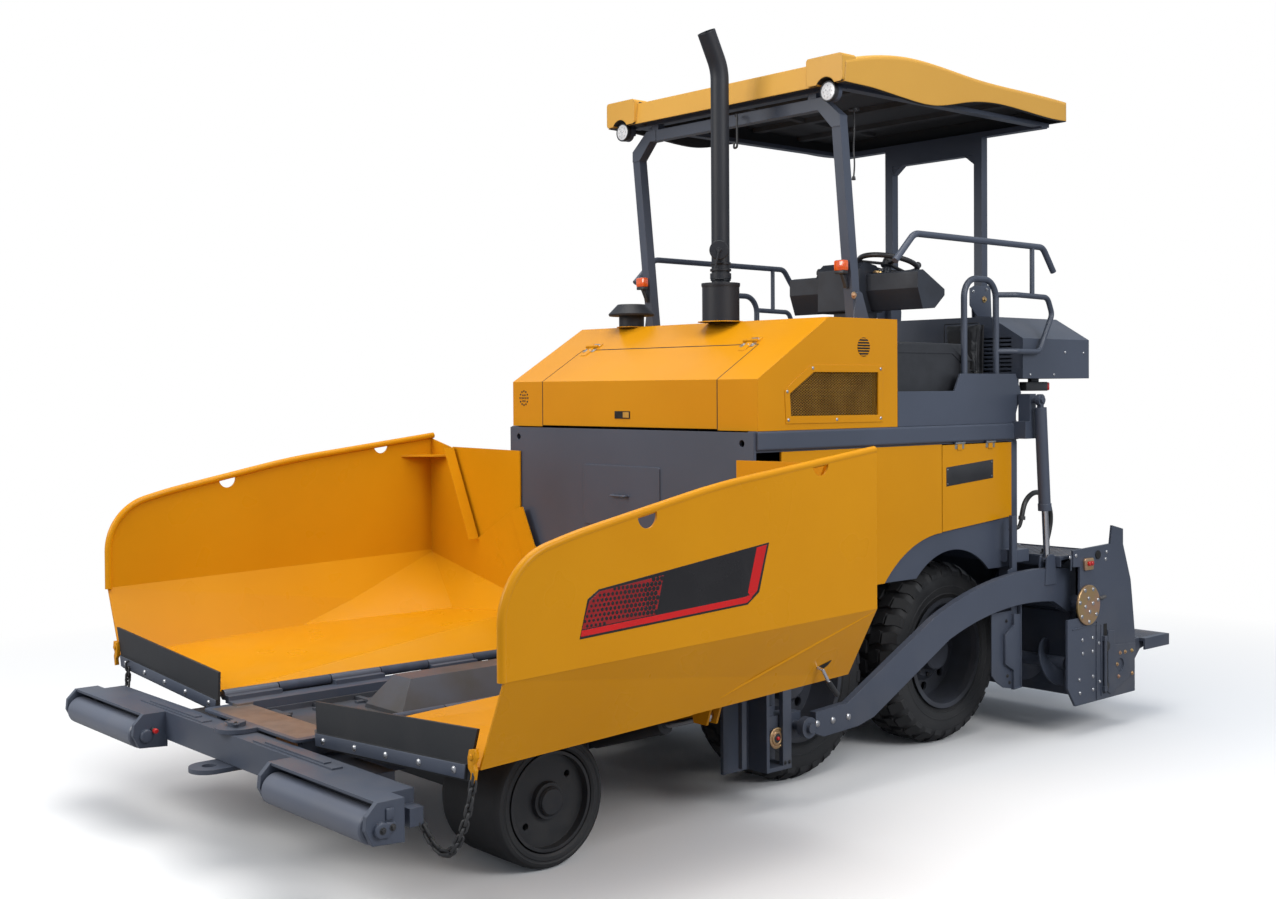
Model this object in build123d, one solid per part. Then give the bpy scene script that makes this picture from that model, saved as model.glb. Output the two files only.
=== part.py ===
"""Wheeled asphalt paver: hopper in front, tractor in the middle, floating screed behind.

Millimetres. +X is the machine's left, -Y its front, +Z up. The origin is on the ground,
in the middle of the machine's length and width. Each sub-part is one STEP in parts/.
"""
from build123d import *
from math import atan2, degrees, hypot, radians, tan
import os

os.makedirs("parts", exist_ok=True)

# ---------------------------------------------------------------- driving dimensions
BODY_HALF = 990                      # half width of hood, side panels and platform
BODY_REAR = 1655
HOOD_FRONT, HOOD_REAR = -473, 605
HOOD_BREAK_Z, HOOD_TOP_Z = 2097, 2415
HOOD_TOP_Y = 55                      # where the sloped front meets the flat top
DECK_Z = 1840                        # top of the rail that the hood stands on
FLOOR_Z = 1856                       # operator's floor
RAIL_Z = 1745                        # underside of that rail
TUNNEL_HALF = 360                    # inner half width of the conveyor tunnel
SIDE_PLATE = 20                      # thickness of the frame's long plates
FRAME_HALF = TUNNEL_HALF + SIDE_PLATE
FRAME_FRONT = -2560

HINGE_X, HINGE_Z = 500, 622          # fold axis of a hopper wing
HINGE_PIN, HINGE_TUBE = 14, 24       # radii
WING_X = 1770                        # outer face of a wing
WING_FRONT, WING_REAR = -2592, -522
SHEET = 10                           # thickness of wing plates

FRONT_WHEEL = dict(x=845, y=-1817, r=292, width=430)
REAR_WHEEL = dict(x=635, r=520, width=330)
REAR_WHEEL_YS = {"middle": 49, "rear": 1288}
KINGPIN_X = 570

TOW_Y, TOW_Z = -277, 385             # tow point, where the arms pivot
TOW_PIN = 25
ARM_X = (1105, 1145)
SCREED_HALF = 1195
END_PLATE_X = (1238, 1253)
AUGER_Y, AUGER_Z, AUGER_R = 1965, 420, 130
SCREED_TUBE = (2075, 771, 44)        # y, z and radius of the telescopic tube
LIFT_TOP, LIFT_EYE, LIFT_X = (1739, 1974), (1806, 1045), 1125
LIFT_PIN = 18

ROLLER_Y, ROLLER_Z, ROLLER_R = -2895, 465, 65
ROLLER_PIN = 20
BEAM_PIVOT_Y, BEAM_PIN = -2740, 40
BEAM_Z = (435, 565)
TOW_EYE_Y, TOW_EYE_R = -2870, 32

CANOPY_HALF = 945
POST_X = 800
FIT = 0.06                           # radial clearance of a running fit


# ---------------------------------------------------------------- small builders
def block(x, y, z):
    """Box from (low, high) pairs."""
    size = [high - low for low, high in (x, y, z)]
    centre = [(high + low) / 2 for low, high in (x, y, z)]
    return Pos(*centre) * Box(*size)


def plate_x(x, outline):
    """Plate between two x values; outline is a list of (y, z)."""
    points = [(x[0], y, z) for y, z in outline]
    return extrude(make_face(Polyline(*points, close=True)), amount=x[1] - x[0], dir=(1, 0, 0))


def plate_y(y, outline):
    """Plate between two y values; outline is a list of (x, z)."""
    points = [(x, y[0], z) for x, z in outline]
    return extrude(make_face(Polyline(*points, close=True)), amount=y[1] - y[0], dir=(0, 1, 0))


def curved_plate_x(x, *runs):
    """Plate between two x values. A run is a list of (y, z) joined by lines, or a tuple of
    three for an arc; each run starts where the last one ends."""
    edges = []
    for run in runs:
        points = [(x[0], y, z) for y, z in run]
        line = ThreePointArc(*points) if isinstance(run, tuple) else Polyline(*points)
        edges += line.edges()
    return extrude(make_face(edges), amount=x[1] - x[0], dir=(1, 0, 0))


def sheet(points, direction, thickness=10):
    """Flat plate with one face through 3-D points and its thickness along direction."""
    return extrude(make_face(Polyline(*points, close=True)), amount=thickness, dir=direction)


def rod_x(y, z, r, x):
    return Pos((x[0] + x[1]) / 2, y, z) * Rot(0, 90, 0) * Cylinder(r, x[1] - x[0])


def rod_y(x, z, r, y):
    return Pos(x, (y[0] + y[1]) / 2, z) * Rot(90, 0, 0) * Cylinder(r, y[1] - y[0])


def rod_z(x, y, r, z):
    return Pos(x, y, (z[0] + z[1]) / 2) * Cylinder(r, z[1] - z[0])


def rod_between(a, b, r):
    """Round bar from point a to point b."""
    a, b = Vector(*a), Vector(*b)
    return extrude(Plane(origin=a, z_dir=b - a) * Circle(r), amount=(b - a).length)


def square_bar(a, b, width):
    """Square bar between two points in a plane of constant x."""
    a, b = Vector(*a), Vector(*b)
    plane = Plane(origin=a, x_dir=(1, 0, 0), z_dir=b - a)
    return extrude(plane * Rectangle(width, width), amount=(b - a).length)


def pipe(points, r, bend):
    """Round pipe along straight runs joined by arcs; bend is one radius or a list of them."""
    path = FilletPolyline(*points, radius=bend)
    return sweep(Plane(origin=path @ 0, z_dir=path % 0) * Circle(r), path=path)


def rounded(shape, axis, radius):
    """The shape with every edge parallel to axis rounded."""
    return fillet(shape.edges().filter_by(axis), radius)


def fuse(*pieces):
    result = pieces[0]
    for piece in pieces[1:]:
        result = result + piece
    return result


def mirror_x(shape):
    return mirror(shape, about=Plane.YZ)


def both_sides(shape):
    return shape + mirror_x(shape)


def turned(profile):
    """Solid of revolution about X; profile is a list of (x, radius)."""
    return revolve(make_face(Polyline(*profile, close=True)), axis=Axis.X)


def save(name, shape):
    export_step(shape, os.path.join("parts", name + ".step"))


# ---------------------------------------------------------------- hopper hinge
KNUCKLES, KNUCKLE_GAP = 7, 6
HINGE_RUN = (FRAME_FRONT, -560)


def knuckle_spans():
    """Knuckles along the fold axis, as (start, end) in y; the frame has the even ones."""
    pitch = (HINGE_RUN[1] - HINGE_RUN[0] + KNUCKLE_GAP) / KNUCKLES
    starts = [HINGE_RUN[0] + i * pitch for i in range(KNUCKLES)]
    return [(start, start + pitch - KNUCKLE_GAP) for start in starts]


# ---------------------------------------------------------------- main frame
FENDER = (964, 978)                  # x of the dark wheel arch
CROSS_TUBES = ((-2480, 400), (-1900, 372), (-1300, 372), (-400, 450), (600, 450), (1500, 452))
DOOR_AXIS_X, DOOR_AXIS_Z = 992, 1738
DOOR_HINGE_YS = (1150, 1440)
DOOR_PIN, DOOR_TUBE = 3.5, 6.5       # radii
FORK_LOW, FORK_HIGH = (413, 433), (567, 587)


def side_plates():
    """Long plate of one side with the wing cylinder's lug and the hopper hinge."""
    outline = [(FRAME_FRONT, 400), (FRAME_FRONT, 600), (-500, 600), (-480, 620), (-480, 1735),
               (BODY_REAR, 1735), (BODY_REAR, 700), (1560, 440), (-900, 440), (-960, 280),
               (-1220, 280), (-1280, 360), (-2480, 360)]
    half = plate_x((TUNNEL_HALF, FRAME_HALF), outline)
    for y in (CYLINDER_Y - 37, CYLINDER_Y + 25):
        half = half + block((FRAME_HALF, 462), (y, y + 12), (300, 360))
    half = half + rod_y(*WING_BASE, WING_PIN, (CYLINDER_Y - 37, CYLINDER_Y + 37))
    half = half + block((TUNNEL_HALF, 472), HINGE_RUN, (588, 600))
    half = half + rod_y(HINGE_X, HINGE_Z, HINGE_PIN, HINGE_RUN)
    for y in knuckle_spans()[0::2]:
        half = half + rod_y(HINGE_X, HINGE_Z, HINGE_TUBE, y) + block((440, HINGE_X), y, (600, HINGE_Z))
    return half


def rear_corner():
    """Wheel arch, rear wall and post, and the lug that the lift cylinder hangs from."""
    arch = curved_plate_x(FENDER, ((492, 1010), (690, 1165), (993, 1247)),
                          [(993, 1247), (993, 1300), (BODY_REAR, 1300), (BODY_REAR, 1006), (1440, 1008)],
                          ((1440, 1008), (1110, 1143), (778, 1010)), [(778, 1010), (492, 1010)])
    cover = block((FRAME_HALF, FENDER[0]), (-470, BODY_REAR), (1150, 1160))
    wall = block((FRAME_HALF, FENDER[1]), (BODY_REAR - 14, BODY_REAR), (1300, 1735))
    post = block((900, 984), (BODY_REAR, 1714), (600, 1735))
    tie = block((FRAME_HALF - 15, 900), (BODY_REAR, 1714), (1180, 1260))
    lug = block((992, 1080), (1660, 1765), (RAIL_Z + 5, 1850)) + block((1000, 1080), (1705, 1765), (1850, 2010))
    pin = rod_x(*LIFT_TOP, LIFT_PIN, (1080, 1150))
    return fuse(arch, cover, wall, post, tie, lug, pin)


def auger_shield():
    """Channel that guards the auger's front, with a stepped edge and two flanges."""
    shield = [(1500, 330), (1575, 330), (1575, 1310), (1540, 1310), (1540, 1010), (1500, 1000),
              (1500, 860), (1530, 830), (1530, 560), (1500, 530)]
    web = plate_x((1062, 1070), shield)
    flange = block((1024, 1070), (1575, 1583), (330, 1310))
    arm = block((940, 1064), (1583, 1714), (1040, 1110)) + block((940, 1020), (1560, 1600), (1040, 1110))
    return fuse(web, flange, arm)


def deck_rail():
    """Half of the heavy rail under hood and platform, with the side door's hinge lugs."""
    rail = block((BODY_HALF - 60, 1000), (-480, 1715), (RAIL_Z, DECK_Z))
    rail = fillet(rail.edges().filter_by(Axis.Y).group_by(Axis.X)[-1], 12)
    for y in DOOR_HINGE_YS:
        rail = rail + rod_y(DOOR_AXIS_X, DOOR_AXIS_Z, DOOR_PIN, (y - 45, y + 45))
        for end in ((y - 45, y - 22), (y + 22, y + 45)):
            rail = rail + rod_y(DOOR_AXIS_X, DOOR_AXIS_Z, DOOR_TUBE, end)
            rail = rail + block((985, 999), end, (DOOR_AXIS_Z, RAIL_Z + 1))
    return rail


def nose():
    """Front cross member, cover plate, the fork of the push beam and the tow eye."""
    cross = block((-850, 850), (-2600, -2470), (400, 500))
    cover = rounded(block((-440, 440), (-2690, -2480), (575, 587)), Axis.Z, 30)
    notch = block((-95, 95), (-2720, -2660), (560, 600))
    stand = block((-395, -360), (-2640, -2480), (500, 576)) + block((360, 395), (-2640, -2480), (500, 576))
    shape = fuse(cross, cover - notch, stand)
    for z in (FORK_LOW, FORK_HIGH):
        shape = shape + rod_z(0, BEAM_PIVOT_Y, 95, z) + block((-95, 95), (BEAM_PIVOT_Y, -2600), z)
    shape = shape + block((-95, 95), (-2620, -2600), (FORK_LOW[0], FORK_HIGH[1]))
    shape = shape + rod_z(0, BEAM_PIVOT_Y, BEAM_PIN, (FORK_LOW[0], FORK_HIGH[1] + 20))
    eye = rod_z(0, TOW_EYE_Y, 88, FORK_LOW) + block((-88, 88), (TOW_EYE_Y, BEAM_PIVOT_Y), FORK_LOW)
    return shape + eye - rod_z(0, TOW_EYE_Y, TOW_EYE_R, (400, 450))


def main_frame():
    """Long plates with the conveyor tunnel between them, decks, arches, rail and nose."""
    frame = both_sides(fuse(side_plates(), rear_corner(), auger_shield(), deck_rail()))
    frame = frame + block((-980, 980), (-480, 1715), (1735, RAIL_Z))
    frame = frame + block((-FRAME_HALF, FRAME_HALF), (-480, BODY_REAR), (960, 972))
    frame = frame + block((-FRAME_HALF, FRAME_HALF), (BODY_REAR - 14, BODY_REAR), (972, 1735))
    for y, z in CROSS_TUBES:
        frame = frame + block((-FRAME_HALF, FRAME_HALF), (y - 40, y + 40), (z, z + 50))
    return frame + nose()


def bulkhead():
    """Wall between hopper and engine, with a framed hatch and two lashing holes."""
    wall = block((-985, 985), (-498, -480), (972, 1835))
    hatch = rounded(block((-310, 310), (-504, -498), (1315, 1640)), Axis.Y, 12)
    handle = pipe([(-60, -500, 1480), (-60, -530, 1480), (60, -530, 1480), (60, -500, 1480)], 6, 14)
    holes = both_sides(rod_y(905, 1780, 18, (-520, -470)))
    return wall + hatch + handle - holes


def body_panels():
    """Yellow fixed panels: the sides ahead of the doors and the plates behind the wings."""
    side = curved_plate_x((978, BODY_HALF), [(-305, 1010), (-305, 1735), (990, 1735), (990, 1246)],
                          ((990, 1246), (690, 1165), (492, 1010)), [(492, 1010), (-305, 1010)])
    rear_plate = plate_y((-512, -502), [(880, 1366), (880, 1698), (1560, 1705), (1400, 1150), (985, 1150)])
    tie = block((900, 980), (-502, -498), (1380, 1660))
    return both_sides(side + rear_plate + tie)


# ---------------------------------------------------------------- hood
HOOD_WALL = 6
DOOR_HALF = 708                      # half width of the hood's front door
HOOD_HINGE_Y, HOOD_HINGE_Z = -158, 2300
HOOD_HINGE_XS = (-640, 640)
HOOD_PIN, HOOD_TUBE = 5, 9           # radii
HOOD_DOOR_TOP = 2288
GRILLE_FRAME = [(-83, 2170), (480, 2170), (478, 1870), (-273, 1874), (-282, 2043)]
GRILLE_HOLE = [(-66, 2132), (442, 2132), (440, 1908), (-236, 1912), (-244, 2024)]


def hood_outline(inset=0):
    return [(HOOD_FRONT + inset, DECK_Z + 1), (HOOD_FRONT + inset, HOOD_BREAK_Z - 0.5 * inset),
            (HOOD_TOP_Y + 0.5 * inset, HOOD_TOP_Z - inset), (HOOD_REAR - inset, HOOD_TOP_Z - inset),
            (HOOD_REAR - inset, DECK_Z + 1)]


def on_slope(y, above=0):
    """(y, z) of a point on the hood's sloped front, and a height above it."""
    rise = (HOOD_TOP_Z - HOOD_BREAK_Z) / (HOOD_TOP_Y - HOOD_FRONT)
    return (y, HOOD_BREAK_Z + (y - HOOD_FRONT) * rise + above)


def hinge_leaf(x, y):
    return plate_x(x, [on_slope(y[0], -2), on_slope(y[0], 5), on_slope(y[1], 5), on_slope(y[1], -2)])


def hood():
    """Sheet-metal shell, open in front for the door and at the sides for the grilles."""
    shell = plate_x((-BODY_HALF, BODY_HALF), hood_outline())
    shell = shell - plate_x((-BODY_HALF + HOOD_WALL, BODY_HALF - HOOD_WALL), hood_outline(HOOD_WALL))
    opening = block((-DOOR_HALF - 3, DOOR_HALF + 3), (-600, -168), (DECK_Z - 40, HOOD_DOOR_TOP + 6))
    windows = both_sides(plate_x((BODY_HALF - 20, BODY_HALF + 20), GRILLE_HOLE))
    ring = plate_x((BODY_HALF - 1, BODY_HALF + 3), GRILLE_FRAME)
    shell = shell - opening + both_sides(ring) - windows
    for x in HOOD_HINGE_XS:
        shell = shell + rod_x(HOOD_HINGE_Y, HOOD_HINGE_Z, HOOD_PIN, (x - 50, x + 50))
        for end in ((x - 50, x - 24), (x + 24, x + 50)):
            shell = shell + rod_x(HOOD_HINGE_Y, HOOD_HINGE_Z, HOOD_TUBE, end) + hinge_leaf(end, (-164, -118))
    return shell


def hood_door():
    """Front door: the upright and sloped panels below the hinge line, with a folded rim."""
    outer = plate_x((-DOOR_HALF, DOOR_HALF), hood_outline())
    inner = plate_x((-DOOR_HALF + HOOD_WALL, DOOR_HALF - HOOD_WALL), hood_outline(HOOD_WALL))
    keep = block((-800, 800), (-600, -172), (DECK_Z + 8, HOOD_DOOR_TOP))
    door = (outer - inner) & keep
    door = door - block((-800, 800), (HOOD_FRONT + 40, HOOD_FRONT + 700), (DECK_Z, HOOD_BREAK_Z - 60))
    for x in HOOD_HINGE_XS:
        run = (x - 22, x + 22)
        bridge = plate_x(run, [on_slope(-175, 2), on_slope(-175, 7), on_slope(-158, 12), on_slope(-158, 2)])
        tube = rod_x(HOOD_HINGE_Y, HOOD_HINGE_Z, HOOD_TUBE, run)
        door = fuse(door, tube, hinge_leaf(run, (-230, -173)), bridge)
        door = door - rod_x(HOOD_HINGE_Y, HOOD_HINGE_Z, HOOD_PIN + FIT, (x - 60, x + 60))
    latch = rounded(block((-38, 12), (-480, -470), (1900, 1924)), Axis.Y, 6)
    return door - latch


# ---------------------------------------------------------------- engine and platform
WHEEL_HUB = (600, 1014, 2758)
WHEEL_TILT = 15                      # degrees


def engine_block():
    return block((-330, 330), (-240, 500), (RAIL_Z, 2150))


def platform():
    """Operator's floor with raised sides, a rear wall and a locker on each side."""
    side = plate_x((978, BODY_HALF), [(609, 1841), (609, 2030), (1110, 2030), (1164, 2127), (1695, 2127),
                                      (1749, 2017), (1673, 1841)])
    locker = plate_x((810, 930), [(640, 1850), (640, 2240), (1165, 2240), (1290, 2160), (1290, 1850)])
    lid = plate_x((804, 934), [(634, 2240), (650, 2276), (720, 2290), (1150, 2292), (1285, 2200), (1296, 2160),
                               (1165, 2240)])
    arm = block((560, 600), (1715, 2300), (2020, 2100)) + block((560, 600), (1700, 1740), (1850, 2100))
    floor = block((-978, 978), (609, 1720), (1841, FLOOR_Z))
    rear = block((-978, 978), (1700, 1715), (1850, 2090))
    return fuse(both_sides(fuse(side, locker, lid, arm)), floor, rear)


def console():
    """Dashboard: two trays either side of a taller instrument pod, on a pedestal."""
    tray = [(860, 2600), (860, 2694), (905, 2702), (1100, 2600), (1100, 2566), (1010, 2492), (905, 2484)]
    pod = [(800, 2480), (800, 2725), (850, 2764), (950, 2748), (1085, 2625), (1000, 2480)]
    right_tray = rounded(plate_x((-20, 262), tray), Axis.X, 8)
    left_tray = rounded(plate_x((558, 930), tray), Axis.X, 8)
    middle = rounded(plate_x((255, 565), pod), Axis.X, 14)
    pedestal = block((350, 560), (830, 960), (FLOOR_Z, 2490))
    column = rod_between((WHEEL_HUB[0], 962, 2560), (WHEEL_HUB[0], 1008, 2735), 22)
    shroud = rod_between((WHEEL_HUB[0], 962, 2560), (WHEEL_HUB[0], 985, 2648), 42)
    return fuse(middle, right_tray, left_tray, pedestal, column, shroud)


def steering_wheel():
    shape = Torus(165, 15) + Cylinder(32, 24)
    for angle in (90, 210, 330):
        shape = shape + Rot(0, 0, angle) * Pos(90, 0, 0) * Box(140, 26, 10)
    knob = Pos(118, 118, 22) * Sphere(20) + Pos(117, 117, 8) * Cylinder(8, 20)
    return Pos(*WHEEL_HUB) * Rot(-WHEEL_TILT, 0, 0) * (shape + knob)


SEAT_X, SEAT_Y = (520, 790), (1330, 1680)


def seats():
    """Pans, pedestals and back frames of the two seats; their cushions are a node of their own."""
    middle = (SEAT_X[0] + SEAT_X[1]) / 2
    pan = block(SEAT_X, SEAT_Y, (2060, 2078))
    base = rod_z(middle, 1500, 60, (FLOOR_Z, 2062))
    base = base + block((middle - 110, middle + 110), (1390, 1610), (FLOOR_Z, 1872))
    back = plate_x((SEAT_X[0] + 20, SEAT_X[1] - 20), [(1672, 2060), (1684, 2060), (1696, 2420), (1684, 2420)])
    return both_sides(fuse(pan, base, back))


def seat_cushions():
    cushion = block((SEAT_X[0] + 4, SEAT_X[1] - 4), (SEAT_Y[0] - 10, 1606), (2078.5, 2160))
    back = plate_x((SEAT_X[0] + 4, SEAT_X[1] - 4), [(1612, 2090), (1671.5, 2090), (1683.5, 2440), (1628, 2440)])
    return both_sides(cushion + back)


RAIL_R, GATE_X, LOOP_X = 18, 955, 1036
GATE_YS = (1245, 1550)


def handrails():
    """Tubular rails of both sides: boarding gate, loop round the cabinet and long top rail."""
    front, rear = GATE_YS
    gate = [(GATE_X, front, 2100), (GATE_X, front, 2668), (GATE_X, rear, 2668), (GATE_X, rear, 2100)]
    loop = [(GATE_X, rear, 2583), (LOOP_X, 1640, 2583), (LOOP_X, 1952, 2578), (LOOP_X, 2000, 2480),
            (LOOP_X, 1865, 2256), (LOOP_X, 1640, 2256), (GATE_X, rear, 2256)]
    top = [(LOOP_X, 530, 2722), (LOOP_X, 694, 2877), (LOOP_X, 1903, 2871), (LOOP_X, 2014, 2732)]
    post = rod_z(LOOP_X, 1794, RAIL_R - 4, (2580, 2874))
    shape = fuse(pipe(gate, RAIL_R, 110), pipe(loop, RAIL_R - 2, [60, 55, 50, 55, 60]), post)
    shape = shape + pipe(top, RAIL_R, [90, 70])
    for y in GATE_YS:
        shape = shape + block((930, 978), (y - 26, y + 26), (2060, 2120))
    return both_sides(shape)


CABINET_Y = (1739, 2441)
LOUVRES = 9


def rear_cabinet():
    """Closed cabinet behind the seats with louvred front corners and a chamfered roof."""
    body = plate_y(CABINET_Y, [(-1010, 2100), (-1010, 2335), (-780, 2470), (780, 2470), (1010, 2335),
                               (1010, 2100)])
    hollow = plate_y((CABINET_Y[0] + 6, CABINET_Y[1] - 6), [(-1004, 2106), (-1004, 2332), (-777, 2464),
                                                            (777, 2464), (1004, 2332), (1004, 2106)])
    slots = [block((650, 930), (CABINET_Y[0] - 1, CABINET_Y[0] + 7), (z, z + 9))
             for z in range(2140, 2140 + 24 * LOUVRES, 24)]
    return body - hollow - both_sides(fuse(*slots))


# ---------------------------------------------------------------- canopy and stacks
CANOPY_TOP = [(250, 3768), (502, 3821), (753, 3847), (1080, 3838), (1425, 3812), (1800, 3803), (2330, 3790)]
CANOPY_SKIRT = [(2330, 3672), (1790, 3686), (1540, 3690), (1300, 3664), (1000, 3610), (760, 3616), (440, 3642)]
CANOPY_SKIN = 28
LAMP = (823, 3612)                   # x and z of the work lamps


def canopy_roof():
    """Moulded roof: a long wave on top, deep wavy skirts and arches over the two lamps."""
    x = CANOPY_HALF
    top = Spline(*[(x, y, z) for y, z in CANOPY_TOP])
    skirt = Spline(*[(x, y, z) for y, z in CANOPY_SKIRT])
    ends = Polyline((x, *CANOPY_TOP[-1]), (x, *CANOPY_SKIRT[0])), \
        Polyline((x, *CANOPY_SKIRT[-1]), (x, 238, 3645), (x, *CANOPY_TOP[0]))
    profile = make_face([*top.edges(), *skirt.edges(), *ends[0].edges(), *ends[1].edges()])
    shell = extrude(profile, amount=2 * x, dir=(-1, 0, 0))
    shell = fillet(shell.edges().filter_by(GeomType.BSPLINE).group_by(Axis.Z)[-1], 26)
    shell = shell & rounded(block((-x, x), (200, 2330), (3500, 3900)), Axis.Z, 45)
    under = [(268, 3560), (272, 3738), (502, 3790), (753, 3817), (1080, 3808), (1425, 3782), (1800, 3773),
             (2302, 3762), (2302, 3560)]
    shell = shell - plate_x((-x + CANOPY_SKIN, x - CANOPY_SKIN), under)
    pad = rounded(block((690, x - 4), (222, 330), (3648, 3796)), Axis.Y, 18)
    return shell + both_sides(pad) - both_sides(rod_y(*LAMP, 72, (200, 345)))


def canopy_frame():
    """Four posts under a frame of box section, with cranked front corners and rear gussets."""
    post = square_bar((POST_X, 472, 2422), (POST_X, 362, 3470), 60)
    crank = plate_y((332, 392), [(POST_X - 30, 3440), (POST_X + 30, 3440), (POST_X + 30, 3500), (700, 3610),
                                 (620, 3610), (620, 3545), (672, 3545)])
    cross = block((0, 690), (336, 388), (3545, 3610))
    hanger = block((600, 660), (336, 388), (3600, 3645))
    side = block((770, 830), (335, 2290), (3645, 3670))
    header = block((0, 830), (332, 392), (3640, 3668))
    foot = block((755, 845), (420, 560), (HOOD_TOP_Z, 2425))
    gusset = plate_x((829, 838), [(430, 2420), (555, 2420), (500, 2560), (470, 2572), (452, 2560)])
    rear_post = block((328, 388), (2211, 2271), (2500, 3640))
    portal = block((0, 388), (2211, 2271), (3530, 3640)) + block((0, 830), (2211, 2271), (3636, 3670))
    corner = plate_y((2216, 2266), [(328, 3532), (250, 3532), (328, 3470)])
    rear_foot = plate_x((322, 330), [(2195, 2470), (2290, 2470), (2296, 2560), (2275, 2640), (2210, 2640),
                                     (2190, 2560)])
    sole = block((300, 416), (2190, 2292), (2470, 2482)) + block((322, 388), (2211, 2271), (2480, 2505))
    lamp = rod_y(*LAMP, 52, (244, 300)) + block((LAMP[0] - 10, LAMP[0] + 10), (290, 345), (3600, 3650))
    half = fuse(post, crank, cross, hanger, side, header, foot, gusset, rear_post, portal, corner, rear_foot,
                sole, lamp)
    return both_sides(half)


STACK_X, STACK_Y = 238, 25


def exhaust_stack():
    """Muffler can, clamp collar and a tall pipe that bends forward at its open top."""
    x, y = STACK_X, STACK_Y
    muffler = rod_z(x, y, 102, (HOOD_TOP_Z, 2620)) + rod_z(x, y, 106, (2612, 2626))
    path = [(x, y, 2620), (x, y, 3790), (x, y - 100, 3981)]
    stack = pipe(path, 50, 240) - pipe(path, 45, 240)
    collar = rod_z(x, y, 58, (2650, 2680)) + rod_z(x, y, 58, (2692, 2704)) - rod_z(x, y, 46, (2640, 2710))
    return fuse(muffler, stack, collar)


def air_intake():
    """Mushroom cap of the air cleaner with a skirt and a short neck."""
    profile = [(0, HOOD_TOP_Z), (74, HOOD_TOP_Z), (74, 2488), (132, 2480), (136, 2492), (82, 2548), (0, 2552)]
    face = make_face(Polyline(*[(r, 0, z) for r, z in profile], close=True))
    return Pos(-557, 75, 0) * revolve(face, axis=Axis.Z)


# ---------------------------------------------------------------- conveyor and axles
FLIGHT_BARS, FLIGHT_PITCH = 17, 230
KINGPIN_R, KNUCKLE_R, STUB_R, HUB_R = 22, 42, 45, 50
FORK_HALF, FORK_ARM = 123, 25        # half height of a kingpin fork, thickness of its arms


def conveyor():
    """Tunnel floor, the roof-shaped cover over the centre drive, chain guards and flight bars."""
    floor = block((-TUNNEL_HALF, TUNNEL_HALF), (-2480, 1600), (522, 534))
    cover = plate_y((-1990, -480), [(-170, 534), (-75, 690), (75, 690), (170, 534)])
    cover = cover - plate_x((-200, 200), [(-2000, 540), (-2000, 700), (-1880, 700)])
    guard = both_sides(block((348, TUNNEL_HALF), (-2440, -500), (534, 560)))
    shape = fuse(floor, cover, guard)
    for i in range(FLIGHT_BARS):
        y = -2400 + FLIGHT_PITCH * i
        bar = block((185, 345), (y, y + 30), (534, 552)) + block((250, 280), (y - 40, y + 70), (534, 546))
        shape = shape + both_sides(bar)
    return shape


def axles():
    """Front axle beam with its kingpin forks, and the two rear bogie beams."""
    y, z = FRONT_WHEEL["y"], FRONT_WHEEL["r"]
    beam = block((-500, 500), (y - 60, y + 60), (z - 60, 360))
    stand = block((-300, 300), (y - 83, y - 40), (340, 372))
    fork = (z - FORK_HALF, z + FORK_HALF)
    half = block((440, 500), (y - 60, y + 60), fork) + rod_z(KINGPIN_X, y, KINGPIN_R, fork)
    for arm in ((fork[0], fork[0] + FORK_ARM), (fork[1] - FORK_ARM, fork[1])):
        half = half + block((440, KINGPIN_X), (y - KNUCKLE_R, y + KNUCKLE_R), arm)
        half = half + rod_z(KINGPIN_X, y, KNUCKLE_R, arm)
    front = beam + stand + both_sides(half)
    r = REAR_WHEEL["r"]
    ya, yb = REAR_WHEEL_YS["middle"], REAR_WHEEL_YS["rear"]
    case = plate_x((388, 460), [(ya - 130, r - 60), (ya - 130, r + 60), (ya, r + 110), (yb, r + 110),
                                (yb + 130, r + 60), (yb + 130, r - 60), (yb, r - 110), (ya, r - 110)])
    case = rounded(case, Axis.X, 30) + rod_x((ya + yb) / 2, r, 100, (FRAME_HALF, 390))
    for yc in (ya, yb):
        case = case + rod_x(yc, r, HUB_R, (455, 690)) + rod_x(yc, r, 95, (455, 475))
    return front + both_sides(case)


def knuckle():
    y, z = FRONT_WHEEL["y"], FRONT_WHEEL["r"]
    reach = FORK_HALF - FORK_ARM - 6
    body = rod_z(KINGPIN_X, y, KNUCKLE_R, (z - reach, z + reach)) + rod_x(y, z, STUB_R, (KINGPIN_X, 880))
    return body - rod_z(KINGPIN_X, y, KINGPIN_R + FIT, (0, 700))


# ---------------------------------------------------------------- wheels
BEAD_GAP = 0.3                       # a tyre sits this far off its rim


def front_tyre():
    """Solid rubber band with rounded shoulders."""
    r, half = FRONT_WHEEL["r"], FRONT_WHEEL["width"] / 2
    return turned([(-half, 215), (-half, r - 24), (-half + 7, r - 7), (-half + 24, r), (half - 24, r),
                   (half - 7, r - 7), (half, r - 24), (half, 215)])


def front_rim():
    """Steel band, outer disc with a raised hub, and two jacking holes."""
    half, outer = FRONT_WHEEL["width"] / 2, 215 - BEAD_GAP
    rim = turned([(-half + 8, outer - 14), (-half + 8, outer), (half - 8, outer), (half - 8, outer - 14),
                  (half - 44, outer - 16), (half - 44, 82), (half - 20, 78), (half - 20, 64), (half - 8, 60),
                  (half - 8, 44), (half - 120, 44), (half - 120, STUB_R + FIT), (-half + 20, STUB_R + FIT),
                  (-half + 20, 80), (half - 62, 80), (half - 62, outer - 16)])
    rim = rim - rod_x(0, 0, 43.9, (half - 121, half))
    for angle in (40, 220):
        rim = rim - Rot(angle, 0, 0) * rod_x(148, 0, 15, (half - 80, half))
    return rim


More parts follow.
